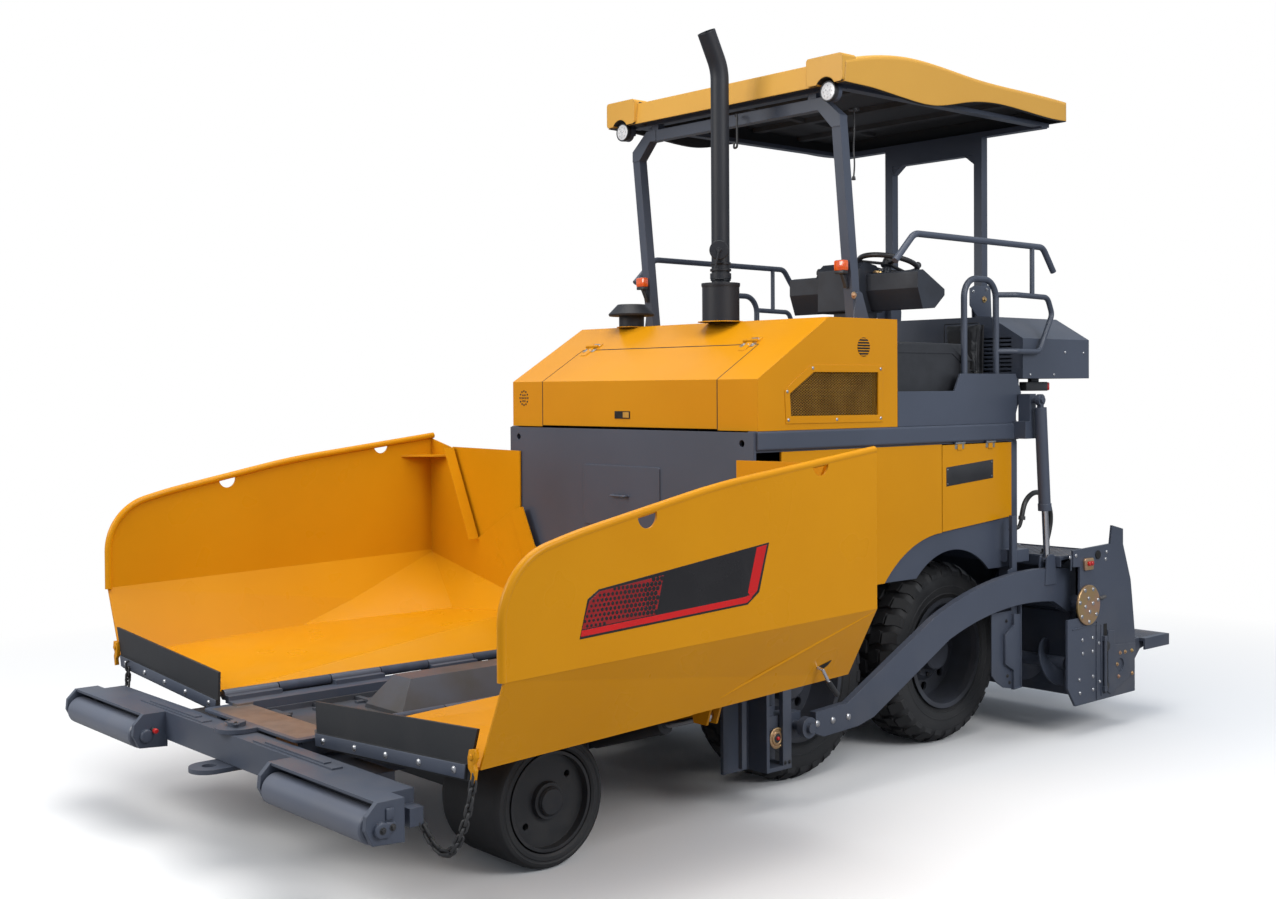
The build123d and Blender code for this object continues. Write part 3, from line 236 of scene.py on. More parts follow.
def inside(tree, coords, low, high):
    """1 where the point is in a box, else 0."""
    centre = tuple((a + b) / 2 for a, b in zip(low, high))
    half = tuple((b - a) / 2 for a, b in zip(low, high))
    from_centre = add(tree, "ShaderNodeVectorMath", {0: coords, 1: centre}, operation="SUBTRACT")
    reach = add(tree, "ShaderNodeVectorMath", {0: from_centre}, operation="ABSOLUTE")
    x, y, z = apart(tree, add(tree, "ShaderNodeVectorMath", {0: reach, 1: half}, operation="SUBTRACT"))
    widest = calculate(tree, "MAXIMUM", calculate(tree, "MAXIMUM", x, y), z)
    return calculate(tree, "LESS_THAN", widest, 0.0)


def edge_look(tree, width):
    """(rounded normal, 0..1 mask of edges) from the Bevel node."""
    rounded = add(tree, "ShaderNodeBevel", {"Radius": width}, samples=4)
    flat = add(tree, "ShaderNodeNewGeometry", {}, "Normal")
    alike = add(tree, "ShaderNodeVectorMath", {0: rounded, 1: flat}, "Value", operation="DOT_PRODUCT")
    return rounded, ramp(tree, alike, 0.93, 0.74)


def coat(tree, shader, colour, rough, height, strength, distance, normal):
    """Plug in colour and roughness, and dent the rounded surface by a fine pattern."""
    dents = add(tree, "ShaderNodeBump", {"Strength": strength, "Distance": distance, "Height": height,
                                         "Normal": normal})
    for label, value in (("Base Color", colour), ("Roughness", rough), ("Normal", dents)):
        plug(tree, shader.inputs[label], value)


print("pattern helpers ready")

# %% [markdown]
# ## Paint
# Construction machines are sprayed and baked. Up close the gloss coat has a faint orange peel, edges
# are paler (wear where the coat thins, and a painted highlight), and dust settles on what lies flat and low.
# Three separate materials could hold paint, dust and wear, but one material with masks is easier
# to keep in step. The same recipe gives yellow panels, the slate-grey frame and the black stack.
# Patches repaint a box-shaped region, which is how the grey hinge tubes on a yellow wing are made.

# %% Paint recipe
DUST = (0.30, 0.26, 0.21)


def paint(name, colour, shade, rough, peel=0.08, dust=0.12, edge=0.25, patches=(), gloss=0.5,
          rim_width=0.004):
    """Sprayed paint. patches are (low, high, colour, roughness, metallic) in folded coordinates."""
    material, tree, shader = node_material(name)
    place, fold = folded_place(tree)
    cloud = ramp(tree, noise(tree, place, 1.3, 4), 0.35, 0.65)
    tone = mixed_colour(tree, cloud, colour, shade)
    rough_value = mixed_value(tree, noise(tree, place, 4.0, 2), rough * 0.85, rough * 1.2)
    metal = 0.0
    for low, high, patch, patch_rough, patch_metal in patches:
        mask = inside(tree, fold, low, high)
        worn = ramp(tree, noise(tree, place, 14.0, 6), 0.35, 0.7)
        speckled = mixed_colour(tree, worn, patch, tuple(c * 0.72 for c in patch))
        tone = mixed_colour(tree, mask, tone, speckled)
        rough_value = mixed_value(tree, mask, rough_value, patch_rough)
        if patch_metal:
            metal = mixed_value(tree, mask, metal, patch_metal)
    # Edges turn paler: partly wear where the coat thins, partly a painted highlight along bends and folds.
    normal, edge_wear_and_highlight = edge_look(tree, rim_width)
    edge_wear_and_highlight = calculate(tree, "MULTIPLY", edge_wear_and_highlight, ramp(tree, noise(tree, place, 30.0), 0.35, 0.6, 0, edge))
    tone = mixed_colour(tree, edge_wear_and_highlight, tone, tuple(min(1.0, c * 1.7 + 0.06) for c in colour))
    flat = ramp(tree, apart(tree, add(tree, "ShaderNodeNewGeometry", {}, "Normal"))[2], 0.5, 1.0)
    lies = calculate(tree, "MAXIMUM", flat, ramp(tree, apart(tree, place)[2], 0.9, 0.2))
    grime = calculate(tree, "MULTIPLY", lies, ramp(tree, noise(tree, place, 3.5, 8), 0.45, 0.75, 0, dust))
    coat(tree, shader, mixed_colour(tree, grime, tone, DUST), mixed_value(tree, grime, rough_value, 0.9),
         noise(tree, place, 160.0, 2), peel, 0.002, normal)
    plug(tree, shader.inputs["Metallic"], metal)
    shader.inputs["Specular IOR Level"].default_value = gloss
    return material


YELLOW, YELLOW_SHADE = (0.625, 0.262, 0.005), (0.590, 0.240, 0.004)
GREY, GREY_SHADE = (0.060, 0.072, 0.102), (0.048, 0.058, 0.082)
hinge_tube = ((0.46, -2.62, 0.585), (0.5245, -0.50, 0.66), GREY, 0.45, 0)
yellow_paint = paint("yellow_paint", YELLOW, YELLOW_SHADE, 0.24, peel=0.05, dust=0.05, gloss=0.16)
wing_paint = paint("wing_paint", YELLOW, YELLOW_SHADE, 0.28, peel=0.05, dust=0.05, patches=[hinge_tube], gloss=0.16,
                   rim_width=0.0012)
grey_paint = paint("grey_paint", GREY, GREY_SHADE, 0.42, peel=0.12, edge=0.35)
nose_wear = ((-0.01, -2.665, 0.5862), (0.40, -2.475, 0.60), (0.235, 0.200, 0.180), 0.36, 0.6)
frame_paint = paint("frame_paint", GREY, GREY_SHADE, 0.42, peel=0.12, edge=0.35, patches=[nose_wear])
valve_box = ((0.78, 0.60, 2.00), (0.966, 1.46, 2.31), (0.024, 0.025, 0.029), 0.42, 0)
platform_paint = paint("platform_paint", GREY, GREY_SHADE, 0.42, peel=0.12, edge=0.35, patches=[valve_box])
# The roller wears the frame grey, with its base colour about 1.6 times paler as a painted sheen of the shiny tube.
roller_sheen_paint = paint("roller_sheen_paint", (0.100, 0.112, 0.146), (0.078, 0.088, 0.116), 0.33, peel=0.08, edge=0.35)
screed_paint = paint("screed_paint", GREY, GREY_SHADE, 0.38, peel=0.12, dust=0.22, edge=0.45)
stack_paint = paint("stack_paint", (0.016, 0.018, 0.024), (0.012, 0.013, 0.017), 0.5, peel=0.3, dust=0.06, edge=0.1,
                    gloss=0.35)
print("paints:", len(bpy.data.materials) - 1)

# %% [markdown]
# ## Canopy skin
# The roof is a glass-fibre moulding: a glossy, slightly paler yellow outside and raw dark grey
# inside. Two shells could be modelled, but the moulding is one piece, so the material tells inside
# from outside by where the point is and which way it faces.

# %% Canopy material
def canopy_skin():
    material, tree, shader = node_material("canopy_skin")
    place, fold = folded_place(tree)
    shell = inside(tree, fold, (-1, 0.262, 3.3), (0.925, 2.306, 3.99))
    facing = apart(tree, add(tree, "ShaderNodeNewGeometry", {}, "Normal"))[2]
    under = calculate(tree, "MULTIPLY", shell, calculate(tree, "LESS_THAN", facing, 0.25))
    under = calculate(tree, "MAXIMUM", under, calculate(tree, "LESS_THAN", facing, -0.6))
    cloud = ramp(tree, noise(tree, place, 1.1, 3), 0.3, 0.7)
    outside = mixed_colour(tree, cloud, (0.60, 0.315, 0.040), (0.56, 0.285, 0.032))
    weave = mixed_value(tree, under, noise(tree, place, 40.0, 2), noise(tree, place, 220.0, 6))
    coat(tree, shader, mixed_colour(tree, under, outside, (0.020, 0.021, 0.023)),
         mixed_value(tree, under, 0.40, 0.7), weave, 0.12, 0.003, edge_look(tree, 0.008)[0])
    return material


canopy_material = canopy_skin()
print("canopy skin:", canopy_material.name)

# %% [markdown]
# ## Rubber, plastic and bare metal
# Tyre rubber is almost black and never shiny. Moulded
# plastic has a fine leather grain. Bare metal is told apart by colour and by how it scatters:
# chrome is smooth and bright, zinc plating is cloudy, yellow-passivated plates have a rainbow of
# gold and pink. One recipe with a pattern scale serves them all.

# %% Plain finishes
def finish(name, colour, other, rough, metallic=0.0, scale=8.0, grain=200.0, depth=0.1,
           varnish=0.0):
    """A finish of two clouded colours and a fine grain; metallic is the same all over."""
    material, tree, shader = node_material(name)
    place = add(tree, "ShaderNodeTexCoord", {}, "Object")
    cloud = ramp(tree, noise(tree, place, scale, 5), 0.38, 0.66)
    shader.inputs["Metallic"].default_value = metallic
    shader.inputs["Coat Weight"].default_value = varnish
    coat(tree, shader, mixed_colour(tree, cloud, colour, other),
         mixed_value(tree, cloud, rough * 0.85, min(1, rough * 1.2)), noise(tree, place, grain, 3), depth, 0.001,
         edge_look(tree, 0.003)[0])
    return material


tyre_rubber = finish("tyre_rubber", (0.019, 0.0195, 0.021), (0.028, 0.028, 0.029), 0.62, scale=5, depth=0.25)
flap_rubber = finish("flap_rubber", (0.012, 0.013, 0.015), (0.020, 0.020, 0.022), 0.55, scale=4, depth=0.3)
hose_rubber = finish("hose_rubber", (0.014, 0.014, 0.015), (0.022, 0.022, 0.022), 0.45, scale=20)
console_plastic = finish("console_plastic", (0.024, 0.028, 0.038), (0.019, 0.022, 0.030), 0.46, grain=420, depth=0.35)
black_plastic = finish("black_plastic", (0.018, 0.018, 0.020), (0.024, 0.024, 0.026), 0.42, grain=350, depth=0.25)
black_steel = finish("black_steel", (0.020, 0.021, 0.024), (0.034, 0.033, 0.033), 0.5)
chrome = finish("chrome_rod", (0.62, 0.62, 0.64), (0.55, 0.55, 0.57), 0.16, 1.0, depth=0.03)
zinc = finish("zinc_bolts", (0.55, 0.55, 0.56), (0.42, 0.42, 0.43), 0.30, 1.0, scale=60)
gold_zinc = finish("gold_zinc", (0.52, 0.36, 0.15), (0.50, 0.30, 0.20), 0.36, 0.8, scale=9)
conveyor_steel = finish("conveyor_steel", (0.072, 0.080, 0.100), (0.055, 0.052, 0.050), 0.45, 0.2, scale=3)
cast_iron = finish("cast_iron", (0.05, 0.05, 0.052), (0.085, 0.08, 0.078), 0.6, scale=12, depth=0.5)
wheel_paint = finish("wheel_paint", (0.045, 0.050, 0.064), (0.032, 0.034, 0.040), 0.45, scale=4)
vinyl = finish("seat_vinyl", (0.020, 0.021, 0.024), (0.027, 0.028, 0.031), 0.48, grain=260, depth=0.5)
print("finishes:", [m.name for m in bpy.data.materials][-13:])

# %% [markdown]
# ## Dressing the CAD plates
# Each imported node only needs its finish. A table of names is
# easier to check than thirty assignments; the left and right copies share a row.

# %% Assign finishes
DRESS = {
    grey_paint: "bulkhead handrails rear_cabinet canopy_frame push_beam tow_guides tow_arms auger_frame "
                "lift_barrel auger",
    yellow_paint: "body_panels hood hood_door side_door", wing_paint: "hopper_wing", frame_paint: "main_frame",
    platform_paint: "platform", roller_sheen_paint: "push_roller", screed_paint: "screed_frame screed_extension",
    stack_paint: "exhaust_stack air_intake", canopy_material: "canopy_roof", cast_iron: "engine_block",
    console_plastic: "console", black_plastic: "steering_wheel", conveyor_steel: "conveyor", vinyl: "seat_cushions",
    black_steel: "seats axles wing_barrel knuckle front_rim", chrome: "wing_rod lift_rod", flap_rubber: "wing_flap",
    tyre_rubber: "front_tyre middle_tyre rear_tyre", wheel_paint: "middle_rim rear_rim", hose_rubber: "screed_hoses",
}
look_of = {name: material for material, names in DRESS.items() for name in names.split()}
for name, node in nodes.items():
    key = name.removesuffix("_left").removesuffix("_right")
    node.data.materials.clear()
    node.data.materials.append(look_of[key])
print("dressed", len(nodes), "nodes")

# %% [markdown]
# ## Hydraulic hoses
# Two hoses carry oil over the gap between the tractor and the screed, one on each side. They have
# to come first, because a hose is a fixed length of something stiff and everything else makes room
# for it. A bevelled curve would be quickest, but the hose is kept as a mesh, so a smooth NURBS line
# is read as points and a round tube is built along them.

# %% Tube along a line
def smooth_over(mesh, degrees):
    """Shade a mesh smooth, but keep edges sharper than this crisp."""
    mesh.shade_smooth()
    mesh.set_sharp_from_angle(angle=math.radians(degrees))


def close_mesh(name, bm):
    """Turn all faces outwards and store the bmesh as a mesh."""
    mesh = bpy.data.meshes.new(name)
    bmesh.ops.recalc_face_normals(bm, faces=bm.faces)
    bm.to_mesh(mesh)
    bm.free()
    return mesh


def add_mesh(name, bm, *materials, smooth=None):
    """Finish a bmesh as a piece at the origin; smooth is the angle above which an edge stays sharp."""
    mesh = close_mesh(name, bm)
    for material in materials:
        mesh.materials.append(material)
    if smooth:
        smooth_over(mesh, smooth)
    return linked(name, mesh)


def skin_into(bm, rings, material=0, closed=False):
    """Join rings of points with faces; an open row of rings gets a face on each end."""
    count = len(rings[0])
    rows = list(zip(rings, rings[1:])) + ([(rings[-1], rings[0])] if closed else [])
    faces = [bm.faces.new((low[k], low[(k + 1) % count], high[(k + 1) % count], high[k]))
             for low, high in rows for k in range(count)]
    if not closed:
        faces += [bm.faces.new(rings[0][::-1]), bm.faces.new(rings[-1])]
    for face in faces:
        face.material_index = material


def smooth_line(points, cyclic=False):
    """Points read from a NURBS spline through control points."""
    curve = bpy.data.curves.new("line", "CURVE")
    curve.dimensions = "3D"
    curve.resolution_u = 8
    spline = curve.splines.new("NURBS")
    spline.points.add(len(points) - 1)
    for point, place in zip(spline.points, points):
        point.co = (*place, 1)
    spline.order_u = 3
    spline.use_endpoint_u = not cyclic
    spline.use_cyclic_u = cyclic
    holder = bpy.data.objects.new("line", curve)
    mesh = bpy.data.meshes.new_from_object(holder)
    line = [v.co.copy() for v in mesh.vertices]
    bpy.data.objects.remove(holder)
    bpy.data.meshes.remove(mesh)
    return line


def turns(count, shift=0.0):
    """Equal steps round a full turn."""
    return [2 * math.pi * (k + shift) / count for k in range(count)]


def tube_into(bm, line, radius, sides=12, material=0, closed=False):
    """Sweep a circle along a line of points, turning it as little as possible."""
    line = [Vector(p) for p in line]
    count = len(line)
    side = None
    rings = []
    for i, point in enumerate(line):
        before = line[(i - 1) % count] if closed or i else point
        after = line[(i + 1) % count] if closed or i < count - 1 else point
        run = (after - before).normalized()
        if side is None:
            side = run.orthogonal().normalized()
        side = (side - side.dot(run) * run).normalized()
        other = run.cross(side)
        rings.append([bm.verts.new(point + radius * (math.cos(a) * side + math.sin(a) * other))
                      for a in turns(sides)])
    skin_into(bm, rings, material, closed)


print("tube tools ready")

# %% Hoses
HOSE_RADIUS = 0.015
HOSE_ROUTE = [(1.020, 1.708, 1.290), (1.020, 1.722, 1.352), (1.019, 1.768, 1.402), (1.017, 1.836, 1.430),
              (1.014, 1.908, 1.424), (1.010, 1.974, 1.388), (1.006, 2.018, 1.330), (1.002, 2.036, 1.258),
              (0.998, 2.024, 1.188), (0.996, 1.996, 1.122), (0.995, 1.985, 1.060)]
for side, word in ((1, "left"), (-1, "right")):
    route = [(side * x, y, z) for x, y, z in HOSE_ROUTE]
    line = smooth_line(route)
    bm = bmesh.new()
    tube_into(bm, line, HOSE_RADIUS, 16)
    hose = add_mesh(f"screed_hose_{word}", bm, hose_rubber, smooth=50)
    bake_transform(hose)
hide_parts("screed_hoses")

# %% [markdown]
# ## Building blocks
# Brackets, discs and covers are made from three plain moves: a flat outline pushed out to a
# thickness, an outline spun about an axle, and a box with its edges rounded. Each move adds to an
# open bmesh, so that a whole bracket with its pin becomes one piece with one name.

# %% Solid makers
def prism_into(bm, outline, axis, low, high, side=1, material=0):
    """Push a flat outline from low to high along axis; the outline gives the other two coordinates."""
    rings = []
    for level in (low, high):
        corners = [[*pair[:axis], level, *pair[axis:]] for pair in outline]
        rings.append([bm.verts.new((side * x, y, z)) for x, y, z in corners])
    skin_into(bm, rings, material)


def oblong(a0, b0, a1, b1):
    return [(a0, b0), (a1, b0), (a1, b1), (a0, b1)]


def box_into(bm, low, high):
    prism_into(bm, oblong(*low[:2], *high[:2]), 2, low[2], high[2])


def spin_into(bm, profile, centre, aim, sides=32, material=0):
    """Spin (height, radius) pairs about the line from centre along aim; zero radii close the ends."""
    aim = Vector(aim).normalized()
    side = aim.orthogonal().normalized()
    other = aim.cross(side)
    rings = []
    for height, radius in profile:
        middle = Vector(centre) + height * aim
        if radius == 0:
            rings.append([bm.verts.new(middle)])
        else:
            rings.append([bm.verts.new(middle + radius * (math.cos(a) * side + math.sin(a) * other))
                          for a in turns(sides)])
    for low, high in zip(rings, rings[1:]):
        for k in range(sides):
            nxt = (k + 1) % sides
            if len(low) == 1:
                face = bm.faces.new((low[0], high[nxt], high[k]))
            elif len(high) == 1:
                face = bm.faces.new((low[k], low[nxt], high[0]))
            else:
                face = bm.faces.new((low[k], low[nxt], high[nxt], high[k]))
            face.material_index = material


def disc_into(bm, centre, aim, radius, depth, chamfer=0.002, sides=32, material=0):
    """A disc with a softened rim, standing on its centre point."""
    spin_into(bm, [(0, 0), (0, radius), (depth - chamfer, radius), (depth, radius - chamfer), (depth, 0)],
              centre, aim, sides, material)


def plain(piece):
    """Swap a piece's mesh for the evaluated one and drop its modifiers."""
    bpy.context.view_layer.update()
    seen = piece.evaluated_get(bpy.context.evaluated_depsgraph_get())
    mesh = bpy.data.meshes.new_from_object(seen)
    piece.modifiers.clear()
    piece.data = mesh
    return piece


def soften(piece, width):
    """Round a piece's edges for good with a Bevel modifier."""
    bevel = piece.modifiers.new("soft edges", "BEVEL")
    bevel.width = width
    bevel.segments = 2
    bevel.limit_method = "ANGLE"
    bevel.angle_limit = math.radians(35)
    bevel.use_clamp_overlap = True
    smooth_over(plain(piece).data, 40)


def finished(piece, body):
    """Hand a piece to its body."""
    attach(piece, body)
    return piece


def fit(name, bm, body, slot_name, *materials, smooth=None, soft=0.0):
    """Close a bmesh, round its edges if asked, and fit it to its body."""
    piece = add_mesh(name, bm, *materials, smooth=smooth)
    if soft:
        soften(piece, soft)
    return finished(piece, body)


SIDES = ((1, "left"), (-1, "right"))
print("solid makers ready")

# %% [markdown]
# ## A tree for fasteners
# A paver is held together by hundreds of bolts. Copying a bolt in a loop makes hundreds of
# objects; a Geometry Nodes tree instead stands one bolt on every point it is given. Each point
# carries an aim, the way its bolt looks, and a spin about that aim. The tree ends by making the
# copies real and giving them their finish, and the result is stored as a plain mesh.

# %% Fastener tree
def new_tree(name, inputs):
    tree = bpy.data.node_groups.new(name, "GeometryNodeTree")
    tree.is_modifier = True
    tree.interface.new_socket("Geometry", in_out="INPUT", socket_type="NodeSocketGeometry")
    for label, kind in inputs:
        tree.interface.new_socket(label, in_out="INPUT", socket_type=kind)
    tree.interface.new_socket("Geometry", in_out="OUTPUT", socket_type="NodeSocketGeometry")
    return tree, tree.nodes.new("NodeGroupInput").outputs, tree.nodes.new("NodeGroupOutput")


def named(tree, label, kind):
    return add(tree, "GeometryNodeInputNamedAttribute", {"Name": label}, "Attribute", data_type=kind)


def end_tree(tree, given, result, instances):
    """Realize the copies and set their material."""
    real = add(tree, "GeometryNodeRealizeInstances", {"Geometry": instances})
    dressed = add(tree, "GeometryNodeSetMaterial", {"Geometry": real, "Material": given["Finish"]})
    plug(tree, result.inputs["Geometry"], dressed)


fastener_tree, given, result = new_tree("stand_on_points", [
    ("Piece", "NodeSocketObject"), ("Size", "NodeSocketFloat"), ("Finish", "NodeSocketMaterial")])
aim = add(fastener_tree, "FunctionNodeAlignRotationToVector",
          {"Vector": named(fastener_tree, "aim", "FLOAT_VECTOR")}, axis="Z")
spin = add(fastener_tree, "FunctionNodeAxisAngleToRotation",
           {"Axis": (0, 0, 1), "Angle": named(fastener_tree, "spin", "FLOAT")})
turn = add(fastener_tree, "FunctionNodeRotateRotation", {"Rotation": aim, "Rotate By": spin}, rotation_space="LOCAL")
source = add(fastener_tree, "GeometryNodeObjectInfo", {"Object": given["Piece"]}, "Geometry")
copies = add(fastener_tree, "GeometryNodeInstanceOnPoints",
             {"Points": given["Geometry"], "Instance": source, "Rotation": turn, "Scale": given["Size"]})
end_tree(fastener_tree, given, result, copies)


def run_tree(piece, tree, **values):
    """Add the tree as a modifier, set its inputs by socket identifier and store the plain result."""
    modifier = piece.modifiers.new(tree.name, "NODES")
    modifier.node_group = tree
    for item in tree.interface.items_tree:
        if item.in_out == "INPUT" and item.name in values:
            modifier[item.identifier] = values[item.name]
    plain(piece)
    piece.data.materials.clear()
    piece.data.materials.append(values["Finish"])
    piece.data.polygons.foreach_set("material_index", [0] * len(piece.data.polygons))
    return piece


def stand(name, places, piece, body, material, size=1.0):
    """One piece holding a copy of another at each (point, aim, spin)."""
    mesh = bpy.data.meshes.new(name)
    mesh.from_pydata([p[0] for p in places], [], [])
    mesh.attributes.new("aim", "FLOAT_VECTOR", "POINT")
    mesh.attributes.new("spin", "FLOAT", "POINT")
    for i, place in enumerate(places):
        mesh.attributes["aim"].data[i].vector = place[1]
        mesh.attributes["spin"].data[i].value = place[2] if len(place) > 2 else 0.4 * i
    holder = run_tree(linked(name, mesh), fastener_tree, Piece=piece, Size=size, Finish=material)
    for label in ("aim", "spin"):
        if label in holder.data.attributes:
            holder.data.attributes.remove(holder.data.attributes[label])
    smooth_over(holder.data, 35)
    return finished(holder, body)


def on_flank(name, x, places, piece, body, material, size):
    """Copies at (y, z) places on an upright face at x, looking away from the middle."""
    return stand(name, [((x, y, z), (math.copysign(1, x), 0, 0)) for y, z in places], piece, body,
                 material, size)


print("tree:", fastener_tree.name, len(fastener_tree.nodes), "nodes")

# %% [markdown]
# ## The fasteners themselves
# Three heads cover the whole machine: a hexagon bolt on a washer, a low dome for panel screws and
# rivets, and a plain nut with its stud. Each is a small mesh of a few dozen faces, drawn once at
# unit size with its foot at zero, looking along +Z. The masters are templates that never render.

# %% Bolt, dome and nut
def template(name, bm):
    """A master for the trees: a mesh object that is in no collection."""
    return bpy.data.objects.new(name, close_mesh(name, bm))


bm = bmesh.new()
disc_into(bm, (0, 0, -0.02), (0, 0, 1), 1.0, 0.20, 0.06, 16)
spin_into(bm, [(0.15, 0), (0.15, 0.62), (0.60, 0.62), (0.72, 0.52), (0.72, 0)], (0, 0, 0), (0, 0, 1), 6)
hex_bolt = template("hex_bolt_master", bm)
bm = bmesh.new()
spin_into(bm, [(-0.05, 0), (-0.05, 1.0), (0.12, 0.98), (0.34, 0.80), (0.46, 0.45), (0.48, 0)],
          (0, 0, 0), (0, 0, 1), 14)
dome_head = template("dome_head_master", bm)
bm = bmesh.new()
spin_into(bm, [(-0.05, 0), (-0.05, 1.0), (0.85, 1.0), (1.0, 0.86), (1.0, 0.5), (1.3, 0.5), (1.36, 0.4), (1.36, 0)],
          (0, 0, 0), (0, 0, 1), 6)
wheel_nut = template("wheel_nut_master", bm)
print("masters:", [len(o.data.polygons) for o in (hex_bolt, dome_head, wheel_nut)], "faces")

# %% [markdown]
# ## Drive tyres
# The four driven wheels wear truck tyres: a round-shouldered carcass, a bead that sits in the rim,
# raised ribs on the sidewall, and deep blocks that reach round the shoulder. The carcass is a
# profile spun about the axle. The blocks repeat exactly, so one pair is drawn and a tree turns it
# round the wheel, which keeps their pitch perfect and lets it be changed with one number.

# %% Carcass
TYRE_RADIUS = 0.520
BEAD_RADIUS = 0.301
BLOCKS = 30
# (distance from the wheel's middle, radius) down one sidewall, from the crown to the bead
SIDEWALL = [(0.0, 0.5035), (0.060, 0.5030), (0.110, 0.5000), (0.136, 0.490), (0.150, 0.472), (0.157, 0.455),
            (0.1605, 0.448), (0.1615, 0.440), (0.1640, 0.425), (0.1648, 0.405), (0.1642, 0.388), (0.1662, 0.386),
            (0.1662, 0.381), (0.1635, 0.379), (0.1605, 0.362), (0.1560, 0.346), (0.1575, 0.343), (0.1572, 0.338),
            (0.1535, 0.336), (0.1480, 0.325), (0.1400, 0.313), (0.1400, 0.303), (0.130, BEAD_RADIUS)]


def ring_solid(bm, outline, centre, sides=96):
    """Spin a closed outline of (x, radius) about the wheel's axle into a closed ring."""
    skin_into(bm, [[bm.verts.new((centre[0] + x, centre[1] + r * math.cos(a), centre[2] + r * math.sin(a)))
                    for x, r in outline] for a in turns(sides)], closed=True)


bm = bmesh.new()
tyre_outline = [(x, r) for x, r in SIDEWALL] + [(-x, r) for x, r in SIDEWALL[:0:-1]]
ring_solid(bm, tyre_outline, (0, 0, 0))
carcass = template("carcass", bm)
print("carcass:", len(carcass.data.polygons), "faces")


# %% One pair of tread blocks
def block_into(bm, foot, side):
    """A block over the crown and shoulder: foot is (x, turn) corners, seen from above the tread."""
    rings = []
    for x, turn in foot:
        drop = max(0.0, abs(x) - 0.118)
        top = TYRE_RADIUS - 1.05 * drop - (0.0 if abs(x) < 0.118 else 0.0015)
        base = top - 0.026
        rings.append((side * x, turn, base, top))
    low = [bm.verts.new((x, math.sin(t) * b, math.cos(t) * b)) for x, t, b, _ in rings]
    pulled = []
    middle_x = sum(r[0] for r in rings) / len(rings)
    middle_t = sum(r[1] for r in rings) / len(rings)
    for x, t, _, top in rings:
        x, t = x + 0.06 * (middle_x - x), t + 0.10 * (middle_t - t)
        pulled.append(bm.verts.new((x, math.sin(t) * top, math.cos(t) * top)))
    skin_into(bm, [low, pulled])


PITCH = 2 * math.pi / BLOCKS
bm = bmesh.new()
for side, shift in ((1, 0.0), (-1, 0.5 * PITCH)):
    for start, end, a, b in ((0.090, 0.163, 0.16, 0.84), (0.006, 0.080, 0.08, 0.80)):
        skew = 0.16 * PITCH
        block_into(bm, [(start, shift + a * PITCH - skew), (end - 0.02, shift + a * PITCH), (end, shift + a * PITCH),
                        (end, shift + (b - 0.06) * PITCH), (end - 0.02, shift + b * PITCH),
                        (start, shift + b * PITCH - skew)], side)
tread_master = template("tread_master", bm)
print("tread pair:", len(tread_master.data.polygons), "faces,", BLOCKS, "pitches")

# %% [markdown]
# ## A tree that turns pieces round an axle
# Tread blocks and wheel nuts both repeat round an axle that lies along X. The tree lays a number of
# points in one place and turns the copy on each by its own share of a full turn. Count and piece
# are inputs, so tyres and nuts use the same tree.

# %% Ring tree
ring_tree, given, result = new_tree("turn_round_axle", [
    ("Piece", "NodeSocketObject"), ("Count", "NodeSocketInt"), ("Start", "NodeSocketFloat"),
    ("Centre", "NodeSocketVector"), ("Finish", "NodeSocketMaterial")])
points = add(ring_tree, "GeometryNodeMeshLine",
             {"Count": given["Count"], "Start Location": given["Centre"], "Offset": (0, 0, 0)})
share = add(ring_tree, "ShaderNodeMath", {0: 2 * math.pi, 1: given["Count"]}, operation="DIVIDE")
order = add(ring_tree, "GeometryNodeInputIndex", {})
angle = add(ring_tree, "ShaderNodeMath", {0: order, 1: share, 2: given["Start"]}, operation="MULTIPLY_ADD")
spin = add(ring_tree, "FunctionNodeAxisAngleToRotation", {"Axis": (1, 0, 0), "Angle": angle})
source = add(ring_tree, "GeometryNodeObjectInfo", {"Object": given["Piece"]}, "Geometry")
copies = add(ring_tree, "GeometryNodeInstanceOnPoints", {"Points": points, "Instance": source, "Rotation": spin})
both = add(ring_tree, "GeometryNodeJoinGeometry", {"Geometry": [copies, given["Geometry"]]})
end_tree(ring_tree, given, result, both)
print("tree:", ring_tree.name, len(ring_tree.nodes), "nodes")


# %% Tyres on four wheels
def moved_copy(piece, name, offset, flip=False):
    """A linked object whose mesh is the piece's, shifted to its place."""
    mesh = piece.data.copy()
    if flip:
        mesh.transform(Matrix.Scale(-1, 4, (1, 0, 0)))
        mesh.flip_normals()
    mesh.transform(Matrix.Translation(offset))
    mesh.name = name
    return linked(name, mesh)


REAR_WHEEL_X, REAR_WHEEL_Z = 0.635, 0.520
AXLES = (("middle", 0.049), ("rear", 1.288))
for axle, y in AXLES:
    for side, word in SIDES:
        centre = (side * REAR_WHEEL_X, y, REAR_WHEEL_Z)
        tyre = moved_copy(carcass, f"{axle}_tread_tyre_{word}", centre)
        tyre.data.materials.append(tyre_rubber)
        run_tree(tyre, ring_tree, Piece=tread_master, Count=BLOCKS, Start=0.13, Centre=centre, Finish=tyre_rubber)
        smooth_over(tyre.data, 38)
        finished(tyre, f"{axle}_wheel_{word}")
        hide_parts(f"{axle}_tyre_{word}")
print("tyre faces:", len(tyre.data.polygons))

# %% [markdown]
# ## Wheel nuts and front bands
# Each driven rim is clamped by ten nuts on a circle, which go round with the ring tree. The small
# steered wheels show no nuts, only a flat cap over the hub. They wear a solid press-on band whose
# edges are chamfered and whose sides carry two moulded grooves, so it is spun anew from a profile.

